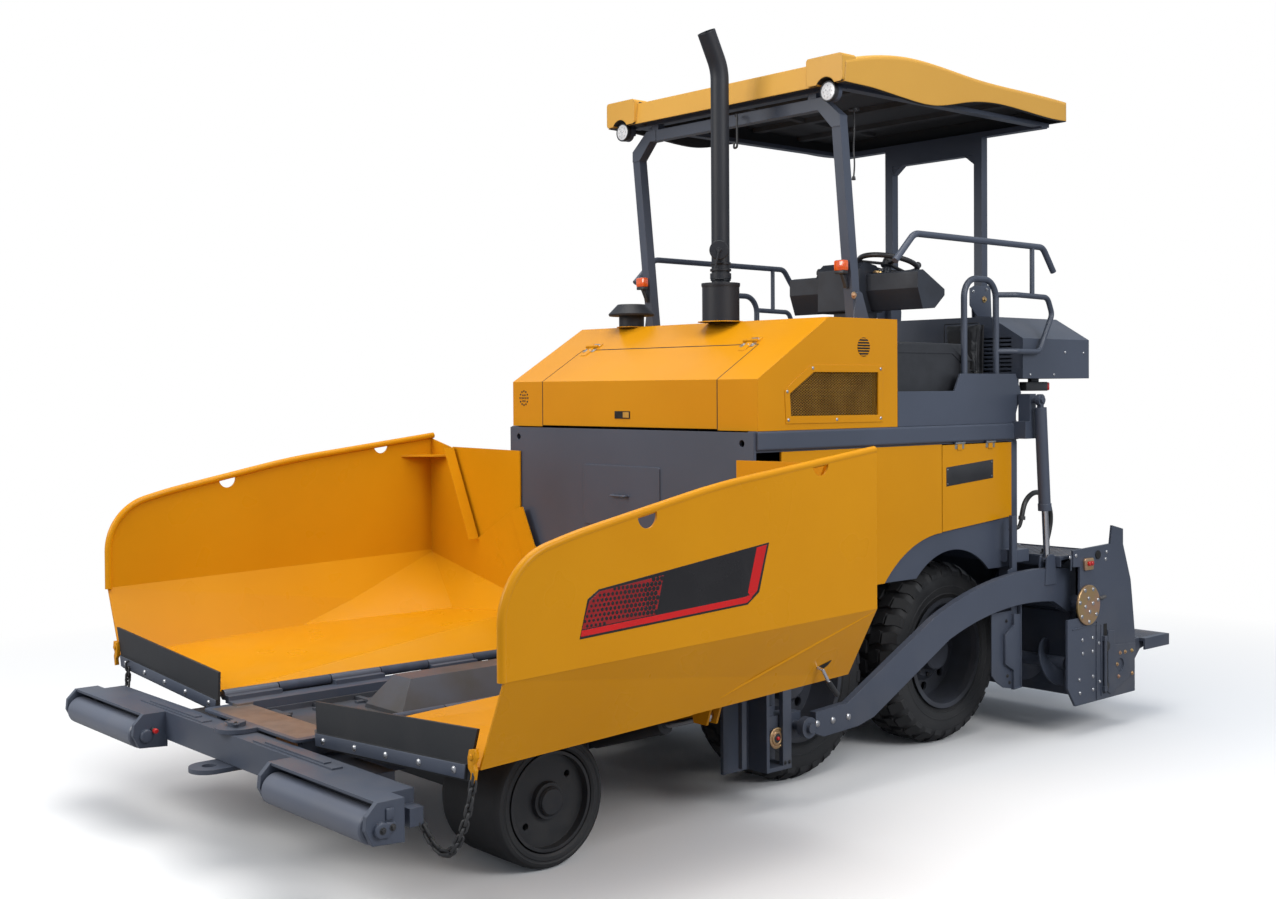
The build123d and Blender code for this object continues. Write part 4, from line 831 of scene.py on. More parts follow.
# %% Nuts
bm = bmesh.new()
NUT_CIRCLE = 0.142
nut_turn = Matrix.Translation((0, 0, NUT_CIRCLE)) @ Matrix.Rotation(math.pi / 2, 4, "Y") @ Matrix.Scale(0.0135, 4)
bm.from_mesh(wheel_nut.data)
bmesh.ops.transform(bm, matrix=nut_turn, verts=bm.verts)
rear_nut = template("rear_nut_master", bm)


def nuts_round(name, master, centre, count, body, side):
    holder = linked(name, bpy.data.meshes.new(name))
    run_tree(holder, ring_tree, Piece=master, Count=count, Start=0.0, Centre=(0, 0, 0), Finish=black_steel)
    if side < 0:
        holder.data.transform(Matrix.Scale(-1, 4, (1, 0, 0)))
        holder.data.flip_normals()
    holder.data.transform(Matrix.Translation(centre))
    smooth_over(holder.data, 35)
    finished(holder, body)


# %% Nuts and front wheels
for side, word in SIDES:
    for axle, y in AXLES:
        nuts_round(f"{axle}_wheel_nuts_{word}", rear_nut, (side * 0.654, y, REAR_WHEEL_Z), 10,
                   f"{axle}_wheel_{word}", side)
FRONT_WHEEL = (0.845, -1.817, 0.292)
for side, word in SIDES:
    centre = (side * FRONT_WHEEL[0], *FRONT_WHEEL[1:])
    bm = bmesh.new()
    spin_into(bm, [(-0.004, 0), (-0.004, 0.058), (0.008, 0.0575), (0.012, 0.053), (0.012, 0)],
              (side * 1.050, *FRONT_WHEEL[1:]), (side, 0, 0), 40)
    fit(f"hub_cap_{word}", bm, f"front_wheel_{word}", "black_steel", black_steel, smooth=30)
    bm = bmesh.new()
    half = [(0.0, 0.2915), (0.170, 0.2905), (0.196, 0.286), (0.208, 0.276), (0.213, 0.262), (0.2095, 0.258),
            (0.2095, 0.252), (0.213, 0.248), (0.213, 0.232), (0.2105, 0.229), (0.205, 0.222), (0.150, 0.215)]
    ring_solid(bm, half + [(-x, r) for x, r in half[:0:-1]], centre)
    band = fit(f"front_band_{word}", bm, f"front_wheel_{word}", "tyre_rubber", tyre_rubber, smooth=30)
    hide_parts(f"front_tyre_{word}")
print("wheels dressed")

# %% [markdown]
# ## Hopper front: flaps, clamp strips and dome bolts
# A rubber flap closes the front of each hopper wing. A folded steel strip clamps its lower edge,
# and five bright dome bolts go through strip, rubber and wing. The strip is already part of the
# flap node, so a thin steel facing is laid over it, and the bolts stand on points along its line.

# %% Flap strips
STRIP_FRONT, STRIP_BACK, BOLT_FOOT = -2.6165, -2.6115, -2.6163
FLAP_BOLTS = [(0.530, 0.588), (0.780, 0.603), (1.015, 0.617), (1.250, 0.632), (1.485, 0.648)]
for side, word in SIDES:
    bm = bmesh.new()
    prism_into(bm, [(0.463, 0.557), (0.461, 0.611), (1.559, 0.679), (1.547, 0.624)], 1, STRIP_FRONT, STRIP_BACK, side)
    fit(f"flap_strip_{word}", bm, f"hopper_wing_{word}", "grey_paint", grey_paint, soft=0.0025)
    stand(f"flap_bolts_{word}", [((side * x, BOLT_FOOT, z), (0, -1, 0)) for x, z in FLAP_BOLTS], dome_head,
          f"hopper_wing_{word}", zinc, size=0.0145)
print("flap bolts:", 2 * len(FLAP_BOLTS))

# %% [markdown]
# ## Chains
# A short chain ties each flap's corner to the push beam. A chain is one link, repeated: every
# second link is turned a quarter turn. The tree walks along a curve, drops a link at each pitch,
# points it down the run and twists it by its order. The line between its two hooks sags as a chain
# does. It crosses two joints, so it is made in two halves that meet where neither joint moves it.

# %% Chain link and tree
LINK_WIRE, LINK_HALF, LINK_ROUND, LINK_PITCH = 0.0060, 0.0130, 0.0115, 0.0285
bm = bmesh.new()
loop = [(LINK_ROUND * math.cos(a), 0, LINK_ROUND * math.sin(a) + math.copysign(LINK_HALF, math.sin(a)))
        for a in turns(16, 0.5)]
tube_into(bm, loop, LINK_WIRE, 6, closed=True)
chain_link = template("chain_link_master", bm)

chain_tree, given, result = new_tree("links_along_curve", [
    ("Link", "NodeSocketObject"), ("Pitch", "NodeSocketFloat"), ("Finish", "NodeSocketMaterial")])
as_curve = add(chain_tree, "GeometryNodeMeshToCurve", {"Mesh": given["Geometry"]})
walk = add(chain_tree, "GeometryNodeCurveToPoints", {"Curve": as_curve, "Length": given["Pitch"]},
           mode="LENGTH").node.outputs
look = add(chain_tree, "FunctionNodeAlignRotationToVector", {"Vector": walk["Tangent"]}, axis="Z")
order = add(chain_tree, "GeometryNodeInputIndex", {})
quarter = add(chain_tree, "ShaderNodeMath", {0: order, 1: math.pi / 2}, operation="MULTIPLY")
twist = add(chain_tree, "FunctionNodeAxisAngleToRotation", {"Axis": (0, 0, 1), "Angle": quarter})
turn = add(chain_tree, "FunctionNodeRotateRotation", {"Rotation": look, "Rotate By": twist}, rotation_space="LOCAL")
source = add(chain_tree, "GeometryNodeObjectInfo", {"Object": given["Link"]}, "Geometry")
copies = add(chain_tree, "GeometryNodeInstanceOnPoints",
             {"Points": walk["Points"], "Instance": source, "Rotation": turn})
end_tree(chain_tree, given, result, copies)
print("link:", len(chain_link.data.polygons), "faces; tree:", len(chain_tree.nodes), "nodes")


# %% Two chains in halves
def chain_piece(name, line):
    mesh = bpy.data.meshes.new(name)
    mesh.from_pydata(line, [(i, i + 1) for i in range(len(line) - 1)], [])
    piece = run_tree(linked(name, mesh), chain_tree, Link=chain_link, Pitch=LINK_PITCH, Finish=black_steel)
    piece.data.shade_smooth()
    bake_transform(piece)


CHAIN_LEFT = [(1.606, -2.613, 0.638), (1.602, -2.622, 0.565), (1.585, -2.636, 0.470), (1.545, -2.650, 0.375),
              (1.490, -2.662, 0.340), (1.440, -2.676, 0.366), (1.408, -2.690, 0.412), (1.397, -2.700, 0.446)]
CHAIN_RIGHT = [(-1.440, -2.620, 0.640), (-1.438, -2.624, 0.560), (-1.400, -2.650, 0.500), (-1.330, -2.690, 0.515)]
for word, route, low in (("left", CHAIN_LEFT, (1.490, -2.662, 0.340)), ("right", CHAIN_RIGHT, (-1.400, -2.65, 0.50))):
    line = smooth_line(route)
    bottom = min(range(len(line)), key=lambda i: (line[i] - Vector(low)).length)
    chain_piece(f"flap_chain_upper_{word}", line[:bottom + 1])
    chain_piece(f"flap_chain_lower_{word}", line[bottom:])
    print(word, "chain", round(sum((b - a).length for a, b in zip(line, line[1:])), 3), "m")

# %% [markdown]
# ## Chain hook and beam fittings
# The chain hangs from a cast hook bolted behind the flap, painted with the wing. On the beam each
# roller runs in end plates: a keeper holds the fixed shaft, a bolt holds the keeper, and a grease
# nipple with a red cap sits on the inner plate. These are short prisms and discs with soft edges.

# %% Hooks and roller ends
red_plastic = finish("red_plastic", (0.55, 0.008, 0.006), (0.46, 0.006, 0.005), 0.32, scale=30, varnish=0.3)
for side, word in SIDES:
    bm = bmesh.new()
    hook = [(1.590, 0.742), (1.624, 0.748), (1.630, 0.716), (1.614, 0.690), (1.624, 0.668), (1.612, 0.620),
            (1.594, 0.624), (1.600, 0.656), (1.582, 0.672), (1.580, 0.712)]
    prism_into(bm, hook, 1, -2.622, -2.604, side)
    disc_into(bm, (side * 1.604, -2.620, 0.716), (0, -1, 0), 0.013, 0.009, sides=6)
    fit(f"flap_hook_{word}", bm, f"hopper_wing_{word}", "yellow_paint", yellow_paint, soft=0.004)

    bm = bmesh.new()
    for x, out in ((1.420, 1), (0.598, -1)):
        centre = (side * x, -2.895, 0.465)
        aim = (side * out, 0, 0)
        disc_into(bm, centre, aim, 0.030, 0.020, 0.004, 24)
    keeper = [(-2.905, 0.440), (-2.862, 0.430), (-2.858, 0.448), (-2.835, 0.452), (-2.835, 0.486), (-2.872, 0.490),
              (-2.885, 0.478)]
    prism_into(bm, keeper, 0, 1.418, 1.432, side)
    prism_into(bm, oblong(-2.872, 0.496, -2.838, 0.538), 0, 1.416, 1.428,
               side)
    fit(f"roller_keeper_{word}", bm, "push_beam", "grey_paint", grey_paint, soft=0.003)
    stand(f"keeper_bolts_{word}", [((side * 1.431, -2.848, 0.468), (side, 0, 0)),
                                   ((side * 1.4395, -2.895, 0.465), (side, 0, 0))], hex_bolt,
          "push_beam", black_steel, size=0.014)
    bm = bmesh.new()
    spin_into(bm, [(0, 0), (0, 0.013), (0.010, 0.013), (0.012, 0.009), (0.026, 0.009), (0.028, 0.005), (0.028, 0)],
              (side * 0.598, -2.862, 0.487), (-side, 0, 0), 12)
    spin_into(bm, [(0.024, 0), (0.024, 0.012), (0.038, 0.012), (0.042, 0.008), (0.042, 0)],
              (side * 0.598, -2.862, 0.487), (-side, 0, 0), 12, material=1)
    fit(f"grease_nipple_{word}", bm, "push_beam", "black_steel", black_steel, red_plastic, smooth=35)
print("beam fittings done")

# %% [markdown]
# ## Pin retainer of the beam
# The beam pivots under a fork. A small retaining plate with two screws keeps its pin from turning.

# %% Pin retainer
bm = bmesh.new()
disc_into(bm, (0, -2.74, 0.586), (0, 0, 1), 0.040, 0.014, 0.003, 32)
prism_into(bm, [(-0.050, -2.772), (0.050, -2.772), (0.050, -2.752), (0.022, -2.732), (-0.022, -2.732),
                (-0.050, -2.752)], 2, 0.598, 0.606)
fit("pin_retainer", bm, "chassis", "grey_paint", grey_paint, soft=0.002)
stand("pin_retainer_bolts", [((-0.034, -2.762, 0.606), (0, 0, 1)), ((0.034, -2.762, 0.606), (0, 0, 1))],
      hex_bolt, "chassis", black_steel, size=0.010)
print("pin retainer done")

# %% [markdown]
# ## Side grilles
# Cooling air enters the hood through a panel of expanded steel mesh on each side, clamped by a
# yellow frame with six screws. Expanded mesh is one diamond repeated in staggered rows. The tree
# stands a diamond ring on each lattice point inside the frame's opening, so the mesh is truly open;
# behind it a thin sheet carries the painted shade of the engine bay.

# %% Grille mesh and screws
bm = bmesh.new()
DIAMOND_LONG, DIAMOND_SHORT, STRAND = 0.0112, 0.0068, 0.0027
corners = [(0, DIAMOND_LONG), (DIAMOND_SHORT, 0), (0, -DIAMOND_LONG), (-DIAMOND_SHORT, 0)]
outer, inner = ([bm.verts.new((x * (1 + grow), y * (1 + grow), 0)) for x, y in corners]
                for grow in (STRAND / DIAMOND_SHORT, -STRAND / DIAMOND_SHORT))
top = [bm.verts.new((x, y, 0.0022)) for x, y in corners]
for k in range(4):
    j = (k + 1) % 4
    bm.faces.new((outer[k], outer[j], top[j], top[k]))
    bm.faces.new((top[k], top[j], inner[j], inner[k]))
    bm.faces.new((inner[k], inner[j], outer[j], outer[k]))
diamond = template("mesh_diamond_master", bm)

GRILLE_OPENING = [(-0.066, 2.132), (0.442, 2.132), (0.440, 1.908), (-0.236, 1.912), (-0.244, 2.024)]


def in_outline(y, z, outline, margin=0.0):
    """True inside a convex outline given in order, at least margin from its sides."""
    area = sum(a[0] * b[1] - b[0] * a[1] for a, b in zip(outline, outline[1:] + outline[:1]))
    turn = 1 if area > 0 else -1
    for a, b in zip(outline, outline[1:] + outline[:1]):
        length = math.hypot(b[0] - a[0], b[1] - a[1])
        away = turn * ((b[0] - a[0]) * (z - a[1]) - (b[1] - a[1]) * (y - a[0])) / length
        if away < margin:
            return False
    return True


mesh_paint = finish("mesh_paint", (0.52, 0.270, 0.030), (0.40, 0.200, 0.024), 0.45, scale=10)
grille_shade = finish("grille_shade", (0.090, 0.045, 0.008), (0.055, 0.028, 0.006), 0.7, scale=14)
# Near-black used as painted shade for holes, slots and gaps, and as the own black of the door seals.
hole_shade_and_seal_black = finish("hole_shade_and_seal_black", (0.006, 0.006, 0.006), (0.010, 0.009, 0.008), 0.8, scale=20)


def staggered(low, high, step, outline, margin):
    """Lattice points inside an outline, with every second row shifted by half a step."""
    places, row, z = [], 0, low[1]
    while z < high[1]:
        y = low[0] + (step[0] / 2 if row % 2 else 0)
        while y < high[0]:
            if in_outline(y, z, outline, margin):
                places.append((y, z))
            y += step[0]
        z += step[1]
        row += 1
    return places


grille_points = staggered((-0.25, 1.905), (0.45, 2.140), (2 * DIAMOND_LONG, DIAMOND_SHORT), GRILLE_OPENING, -0.004)
GRILLE_SCREWS = [(-0.072, 2.152), (0.462, 2.150), (0.461, 1.890), (0.110, 1.889), (-0.255, 1.893), (-0.263, 2.034)]
for side, word in SIDES:
    stand(f"grille_mesh_{word}", [((side * 0.9795, y, z), (side, 0, 0), 0.0) for y, z in grille_points], diamond,
          "chassis", mesh_paint)
    on_flank(f"grille_screws_{word}", side * 0.9925, GRILLE_SCREWS, dome_head, "chassis", zinc, 0.0088)
    # A thin sheet behind the mesh carries the engine bay's shade, painted in dark yellow.
    bm = bmesh.new()
    prism_into(bm, [(-0.235, 1.915), (0.435, 1.915), (0.437, 2.128), (-0.064, 2.128), (-0.238, 2.022)], 0,
               0.955, 0.958, side)
    fit(f"grille_back_{word}", bm, "chassis", "black_steel", grille_shade)
print("grille diamonds on each side:", len(grille_points))

# %% [markdown]
# ## Round vents
# Behind the grille is a round louvre of slots, and the front corner has a small rose of drilled
# holes. Cutting the sheet would be real, but the holes are small and lead nowhere, so the rear
# louvre is a sunk disc of painted shade with yellow slats across it, and the rose is dots of
# painted shade in a ring lattice.

# %% Louvre and rose
VENT_Y, VENT_Z, VENT_R = 0.327, 2.264, 0.050
for side, word in SIDES:
    bm = bmesh.new()
    # A disc of painted shade for the dark inside of the slots.
    spin_into(bm, [(0, 0), (0, VENT_R), (0.0012, VENT_R), (0.0012, 0)], (side * 0.9898, VENT_Y, VENT_Z), (side, 0, 0),
              40)
    for k in range(-3, 4):
        level = VENT_Z + 0.0143 * k
        reach = math.sqrt(max(0.0, VENT_R ** 2 - (level - VENT_Z) ** 2))
        prism_into(bm, oblong(VENT_Y - reach, level - 0.0024, VENT_Y + reach, level + 0.0024), 0, 0.9895, 0.9925,
                   side, 1)
    fit(f"round_louvre_{word}", bm, "chassis", "yellow_paint", hole_shade_and_seal_black, yellow_paint)
rose = [(0.0, 0.0)]
for count, radius in ((6, 0.018), (12, 0.037)):
    rose += [(radius * math.cos(a), radius * math.sin(a)) for a in turns(count)]
# Each drilled hole is a flat dot of painted shade.
bm = bmesh.new()
spin_into(bm, [(-0.3, 0), (-0.3, 1.0), (0.25, 1.0), (0.25, 0)], (0, 0, 0), (0, 0, 1), 10)
drilled = template("drilled_hole_master", bm)
hood_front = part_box("hood")[0].y
ROSE_X, ROSE_Z = -0.885, 2.003
stand("front_rose", [((ROSE_X + a, hood_front - 0.0002, ROSE_Z + 1.1 * b), (0, -1, 0)) for a, b in rose], drilled,
      "chassis", hole_shade_and_seal_black, size=0.0056)
print("hood front at y", round(hood_front, 3), "rose holes", len(rose))

# %% [markdown]
# ## Hood hinges and latch
# The engine door hinges along its top edge on two zinc hinges: one leaf on the fixed hood, one on
# the door, three rivets in each. The leaves lie on a slope, so they are drawn flat and turned onto
# it. Each leaf is attached to the body named after its own sheet.

# %% Hinges
hinge_zinc = finish("hinge_zinc", (0.50, 0.49, 0.45), (0.40, 0.38, 0.33), 0.34, 0.9, scale=25)
HINGE_Y, HINGE_Z, HINGE_DROP = -0.158, 2.300, 0.0112
SLOPE_RISE, SLOPE_RUN = 0.318, 0.528
for side, word in SIDES:
    slope = math.atan2(SLOPE_RISE, SLOPE_RUN)
    seat = Matrix.Translation((side * 0.640, HINGE_Y, HINGE_Z)) @ Matrix.Rotation(slope, 4, "X")
    for leaf, low, high, body in (("fixed", 0.006, 0.044, "chassis"), ("door", -0.046, -0.006, "hood_door")):
        bm = bmesh.new()
        prism_into(bm, oblong(-0.047, low, 0.047, high), 2, -HINGE_DROP, 0.0035 - HINGE_DROP)
        for k in range(-2, 3):
            if (k % 2 == 0) == (leaf == "fixed"):
                spin_into(bm, [(0, 0), (0, 0.0075), (0.017, 0.0075), (0.017, 0)],
                          (0.0185 * k - 0.0085, 0, 0.0035 - HINGE_DROP + 0.004), (1, 0, 0), 12)
        bmesh.ops.transform(bm, matrix=seat, verts=bm.verts)
        fit(f"hood_hinge_{leaf}_{word}", bm, body, "worn_steel", hinge_zinc, smooth=35)
        middle = (low + high) / 2
        stand(f"hinge_rivets_{leaf}_{word}",
              [(seat @ Vector((x, middle, 0.0035 - HINGE_DROP)), seat.to_3x3() @ Vector((0, 0, 1)))
               for x in (-0.032, 0.0, 0.032)], dome_head, body, zinc, size=0.0062)
# The outer plate is painted shade of the latch pocket; the inner plate is the handle in it.
bm = bmesh.new()
prism_into(bm, oblong(-0.076, 1.893, 0.047, 1.933), 1, -0.4765, -0.4700, material=0)
prism_into(bm, oblong(-0.006, 1.898, 0.042, 1.928), 1, -0.4785, -0.4720, material=1)
fit("hood_latch", bm, "hood_door", "black_steel", hole_shade_and_seal_black, mesh_paint)

DOOR_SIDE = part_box("hood_door")[1].x + 0.0015
HOOD_FACE, HOOD_BREAK = -0.473, 2.097
SEAM_END = -0.170
seam_top = HOOD_BREAK + (SEAM_END - HOOD_FACE) * SLOPE_RISE / SLOPE_RUN
profile = [(HOOD_FACE, 1.842), (HOOD_FACE, HOOD_BREAK), (SEAM_END, seam_top)]
bm = bmesh.new()
for x in (-DOOR_SIDE, DOOR_SIDE):
    for (y0, z0), (y1, z1) in zip(profile, profile[1:]):
        out = Vector((-(z1 - z0), y1 - y0)).normalized() * 0.0007
        prism_into(bm, [(y0 + 0.001, z0), (y1 + 0.001, z1), (y1 + out.x, z1 + out.y), (y0 + out.x, z0 + out.y)], 0,
                   x - 0.0028, x + 0.0028)
prism_into(bm, [(-0.174, seam_top - 0.0045), (-0.168, seam_top - 0.0005), (-0.1685, seam_top + 0.0018),
                (-0.1745, seam_top - 0.0018)], 0, -DOOR_SIDE, DOOR_SIDE)
fit("door_seals", bm, "chassis", "rubber", hole_shade_and_seal_black)

for side, word in SIDES:
    for y in (1.150, 1.440):
        bm = bmesh.new()
        spin_into(bm, [(0, 0), (0, 0.0065), (0.088, 0.0065), (0.088, 0)], (side * 0.9935, y - 0.044, 1.738),
                  (0, 1, 0), 12)
        prism_into(bm, oblong(y - 0.042, 1.706, y + 0.042, 1.736), 0, 0.9895,
                   0.9925, side)
        fit(f"side_hinge_{word}_{round(1000 * y)}", bm, f"side_door_{word}", "worn_steel", hinge_zinc, smooth=35)
print("hinges done")

# %% [markdown]
# ## Blank door plate
# A flat black plate is riveted to each side door. Makers print a type on it; this one stays blank.

# %% Door plate
PLATE_RIVETS = ((1.042, 1.514), (1.042, 1.594), (1.456, 1.542), (1.456, 1.622))
for side, word in SIDES:
    bm = bmesh.new()
    prism_into(bm, [(1.030, 1.500), (1.468, 1.530), (1.468, 1.636), (1.030, 1.606)], 0, 0.9895, 0.9912, side)
    fit(f"door_plate_{word}", bm, f"side_door_{word}", "black_steel", black_plastic, soft=0.0008)
    on_flank(f"door_plate_rivets_{word}", side * 0.9912, PLATE_RIVETS, dome_head, f"side_door_{word}", zinc, 0.0042)
print("door plates done")

# %% [markdown]
# ## Wing stripe
# A sticker runs along each wing: a slanted black band with a red foot and a red end, fading at the
# front into rows of small hexagons. It could be painted by a material, but a sticker has a crisp
# edge and a real thickness, so it is a stack of thin plates, and the fade is hexagons of four
# sizes placed by the fastener tree on a honeycomb lattice.

# %% Stripe plates
sticker_black = finish("sticker_black", (0.010, 0.009, 0.010), (0.014, 0.012, 0.013), 0.30, scale=3, depth=0.02)
sticker_red = finish("sticker_red", (0.60, 0.006, 0.006), (0.50, 0.004, 0.005), 0.28, scale=3, depth=0.02)
sticker_maroon = finish("sticker_maroon", (0.30, 0.006, 0.007), (0.22, 0.004, 0.005), 0.32, scale=3, depth=0.02)
WING_FACE = 1.7702
STRIPE = [(-2.245, 1.122), (-1.352, 1.163), (-1.283, 1.208), (-1.222, 1.410), (-1.364, 1.393), (-2.150, 1.300),
          (-2.205, 1.268)]
RED_FOOT = [(-2.240, 1.131), (-1.356, 1.171), (-1.330, 1.186), (-1.322, 1.204), (-1.368, 1.196), (-2.236, 1.154)]
RED_END = [(-1.330, 1.190), (-1.295, 1.216), (-1.236, 1.402), (-1.296, 1.394), (-1.336, 1.262), (-1.350, 1.212)]
FADE = [(-2.234, 1.158), (-1.860, 1.176), (-1.820, 1.325), (-2.148, 1.292), (-2.198, 1.260)]
bm = bmesh.new()
spin_into(bm, [(0, 0), (0, 1.0), (1.0, 1.0), (1.0, 0)], (0, 0, 0), (0, 0, 1), 6)
hexagon = template("hexagon_master", bm)
lattice = staggered((-2.24, 1.150), (-1.80, 1.335), (0.021, 0.0182), FADE, 0.004)
BAND = 0.11
for side, word in SIDES:
    bm = bmesh.new()
    for outline, low, high, index in ((STRIPE, 0.0, 0.0008, 0), (RED_FOOT, 0.0006, 0.0013, 1),
                                      (RED_END, 0.0006, 0.0014, 1), (FADE, 0.0006, 0.0011, 2)):
        prism_into(bm, outline, 0, WING_FACE + low, WING_FACE + high, side, index)
    body = f"hopper_wing_{word}"
    fit(f"wing_stripe_{word}", bm, body, "yellow_paint", sticker_black, sticker_red, sticker_maroon)
    for band, size in enumerate((0.0066, 0.0078, 0.0090, 0.0104)):
        start = -2.25 + BAND * band
        some = [(y, z) for y, z in lattice if start <= y < start + BAND]
        piece = stand(f"stripe_hexagons_{word}_{band}",
                      [((side * (WING_FACE + 0.0006), y, z), (side, 0, 0), math.pi / 6) for y, z in some], hexagon,
                      body, sticker_black, size)
        for v in piece.data.vertices:
            v.co.x = side * min(WING_FACE + 0.0016, max(WING_FACE + 0.0006, side * v.co.x))
print("stripe hexagons:", len(lattice))

# %% [markdown]
# ## Wing catch lever
# Low on each wing's slope, a bent slot lets out a lever: a bright rod with a black rubber grip.

# %% Catch lever
def slope_x(z):
    """The wing's outer slope at the lever, from its foot up to the crease."""
    return 1.604 + 0.5508 * (z - 0.745)


for side, word in SIDES:
    bm = bmesh.new()
    # The bent slot is a thin plate of painted shade on the slope, not a cut.
    slot_ring = [(-0.784, 0.815), (-0.700, 0.838), (-0.712, 0.816), (-0.738, 0.800), (-0.748, 0.812), (-0.776, 0.806)]
    low = [bm.verts.new((side * (slope_x(z) - 0.003), y, z)) for y, z in slot_ring]
    high = [bm.verts.new((side * (slope_x(z) + 0.0012), y, z - 0.0006)) for y, z in slot_ring]
    skin_into(bm, [low, high])
    tube_into(bm, [Vector((side * 1.640, -0.776, 0.812)), Vector((side * 1.664, -0.770, 0.806)),
                   Vector((side * 1.667, -0.732, 0.744)), Vector((side * 1.667, -0.728, 0.738))], 0.0075, 12, 1)
    tube_into(bm, [Vector((side * 1.667, -0.736, 0.750)), Vector((side * 1.667, -0.732, 0.744)),
                   Vector((side * 1.667, -0.700, 0.708)), Vector((side * 1.667, -0.678, 0.684)),
                   Vector((side * 1.667, -0.675, 0.681))], 0.0125, 14, 2)
    fit(f"catch_lever_{word}", bm, f"hopper_wing_{word}", "black_steel", hole_shade_and_seal_black, chrome, black_plastic, smooth=35)
print("levers done")

# %% [markdown]
# ## Tow point
# Each tow arm slides in a guide on the tractor's flank. A brass-coloured wear disc with a red
# grease cap marks the pin, three bright bolts hold the arm to its shoe, and two more close the
# guide's foot.

# %% Wear disc and arm bolts
for side, word in SIDES:
    bm = bmesh.new()
    centre = (side * 1.0645, -0.430, 0.346)
    spin_into(bm, [(0, 0.020), (0, 0.052), (0.006, 0.052), (0.008, 0.049), (0.008, 0.044), (0.004, 0.041),
                   (0.004, 0.036), (0.009, 0.033), (0.010, 0.026), (0.007, 0.023), (0.007, 0.020)], centre,
              (side, 0, 0), 48)
    spin_into(bm, [(0.004, 0), (0.004, 0.022), (0.008, 0.022), (0.009, 0.012), (0.009, 0)], centre, (side, 0, 0), 32,
              1)
    spin_into(bm, [(0.008, 0), (0.008, 0.010), (0.016, 0.009), (0.018, 0.006), (0.018, 0)], centre, (side, 0, 0), 16,
              2)
    fit(f"wear_disc_{word}", bm, "chassis", "worn_steel", gold_zinc, black_steel, red_plastic, smooth=35)
    stand(f"arm_bolts_{word}", [((side * 1.1452, y, 0.397), (side, 0, 0)) for y in (-0.222, -0.106, 0.012)], dome_head,
          "screed", zinc, size=0.0175)
    on_flank(f"guide_bolts_{word}", side * 1.0852, ((-0.390, 0.222), (-0.360, 0.222), (-0.375, 0.62)), hex_bolt,
             "chassis", black_steel, 0.0105)
print("tow points done")

# %% [markdown]
# ## Lamps
# Two round work lamps look forward from the canopy's corners: a dark bezel, a frosted white lens
# and a ring of small diodes. Amber direction lamps sit in front of the canopy posts, and a bar
# with a red lens hangs under the rear cabinet. Each is a few spun or rounded solids in one mesh.

# %% Round work lamps
lamp_white = finish("lamp_white", (0.62, 0.63, 0.64), (0.70, 0.70, 0.71), 0.25, scale=40, varnish=0.6)
amber = finish("amber_lens", (0.80, 0.115, 0.004), (0.62, 0.07, 0.003), 0.16, scale=22, depth=0.2, varnish=1.0)
LAMP_X, LAMP_Z, LAMP_FACE = 0.823, 3.612, 0.244
for side, word in SIDES:
    centre = (side * LAMP_X, LAMP_FACE + 0.006, LAMP_Z)
    bm = bmesh.new()
    spin_into(bm, [(-0.050, 0), (-0.050, 0.030), (-0.038, 0.046), (-0.020, 0.0530), (0.004, 0.0545), (0.008, 0.053),
                   (0.008, 0.0485), (0.004, 0.047), (0.004, 0)], centre, (0, -1, 0), 48)
    spin_into(bm, [(0.003, 0), (0.003, 0.0475), (0.0055, 0.0475), (0.007, 0.043), (0.0078, 0.020), (0.0080, 0)],
              centre, (0, -1, 0), 40, 1)
    fit(f"work_lamp_{word}", bm, "chassis", "black_steel", black_plastic, lamp_white, smooth=35)
    dots = [(0.030 * math.cos(a), 0.030 * math.sin(a)) for a in turns(8)]
    dots += [(0.0, 0.0)] + [(0.014 * math.cos(a), 0.014 * math.sin(a)) for a in (0.4, 2.5, 4.6)]
    stand(f"lamp_diodes_{word}", [((centre[0] + a, centre[1] - 0.0076, LAMP_Z + b), (0, -1, 0)) for a, b in dots],
          dome_head, "chassis", zinc, size=0.0042)

    bm = bmesh.new()
    low, high = sorted((side * 0.762, side * 0.832))
    box_into(bm, (low, 0.352, 2.676), (high, 0.398, 2.734))
    fit(f"indicator_lens_{word}", bm, "chassis", "black_steel", amber, soft=0.010)
    bm = bmesh.new()
    box_into(bm, (low + 0.004, 0.356, 2.660), (high - 0.004, 0.396, 2.678))
    prism_into(bm, [(0.372, 2.662), (0.392, 2.662), (0.418, 2.610), (0.418, 2.585), (0.404, 2.585), (0.400, 2.606)], 0,
               0.786, 0.808, side)
    prism_into(bm, oblong(0.396, 2.690, 0.430, 2.720), 0, 0.785, 0.809, side)
    fit(f"indicator_base_{word}", bm, "chassis", "black_steel", black_plastic, soft=0.002)

    bm = bmesh.new()
    low, high = sorted((side * 0.900, side * 0.952))
    box_into(bm, (low, 1.860, 2.026), (high, 2.084, 2.080))
    box_into(bm, (low + 0.012, 1.930, 2.078), (high - 0.012, 2.010, 2.104))
    fit(f"rear_lamp_{word}", bm, "chassis", "black_steel", black_plastic, soft=0.004)
    bm = bmesh.new()
    box_into(bm, (low + 0.002, 2.082, 2.029), (high - 0.002, 2.108, 2.077))
    fit(f"rear_lamp_lens_{word}", bm, "chassis", "black_steel", red_plastic, soft=0.006)
print("lamps fitted")

# %% [markdown]
# ## Post feet, gussets and grab handle
# The canopy folds for transport: each front post stands in a fork with one passivated bolt, and
# each rear post has a gusset with two. A round-bar grab handle hangs from the front cross tube.

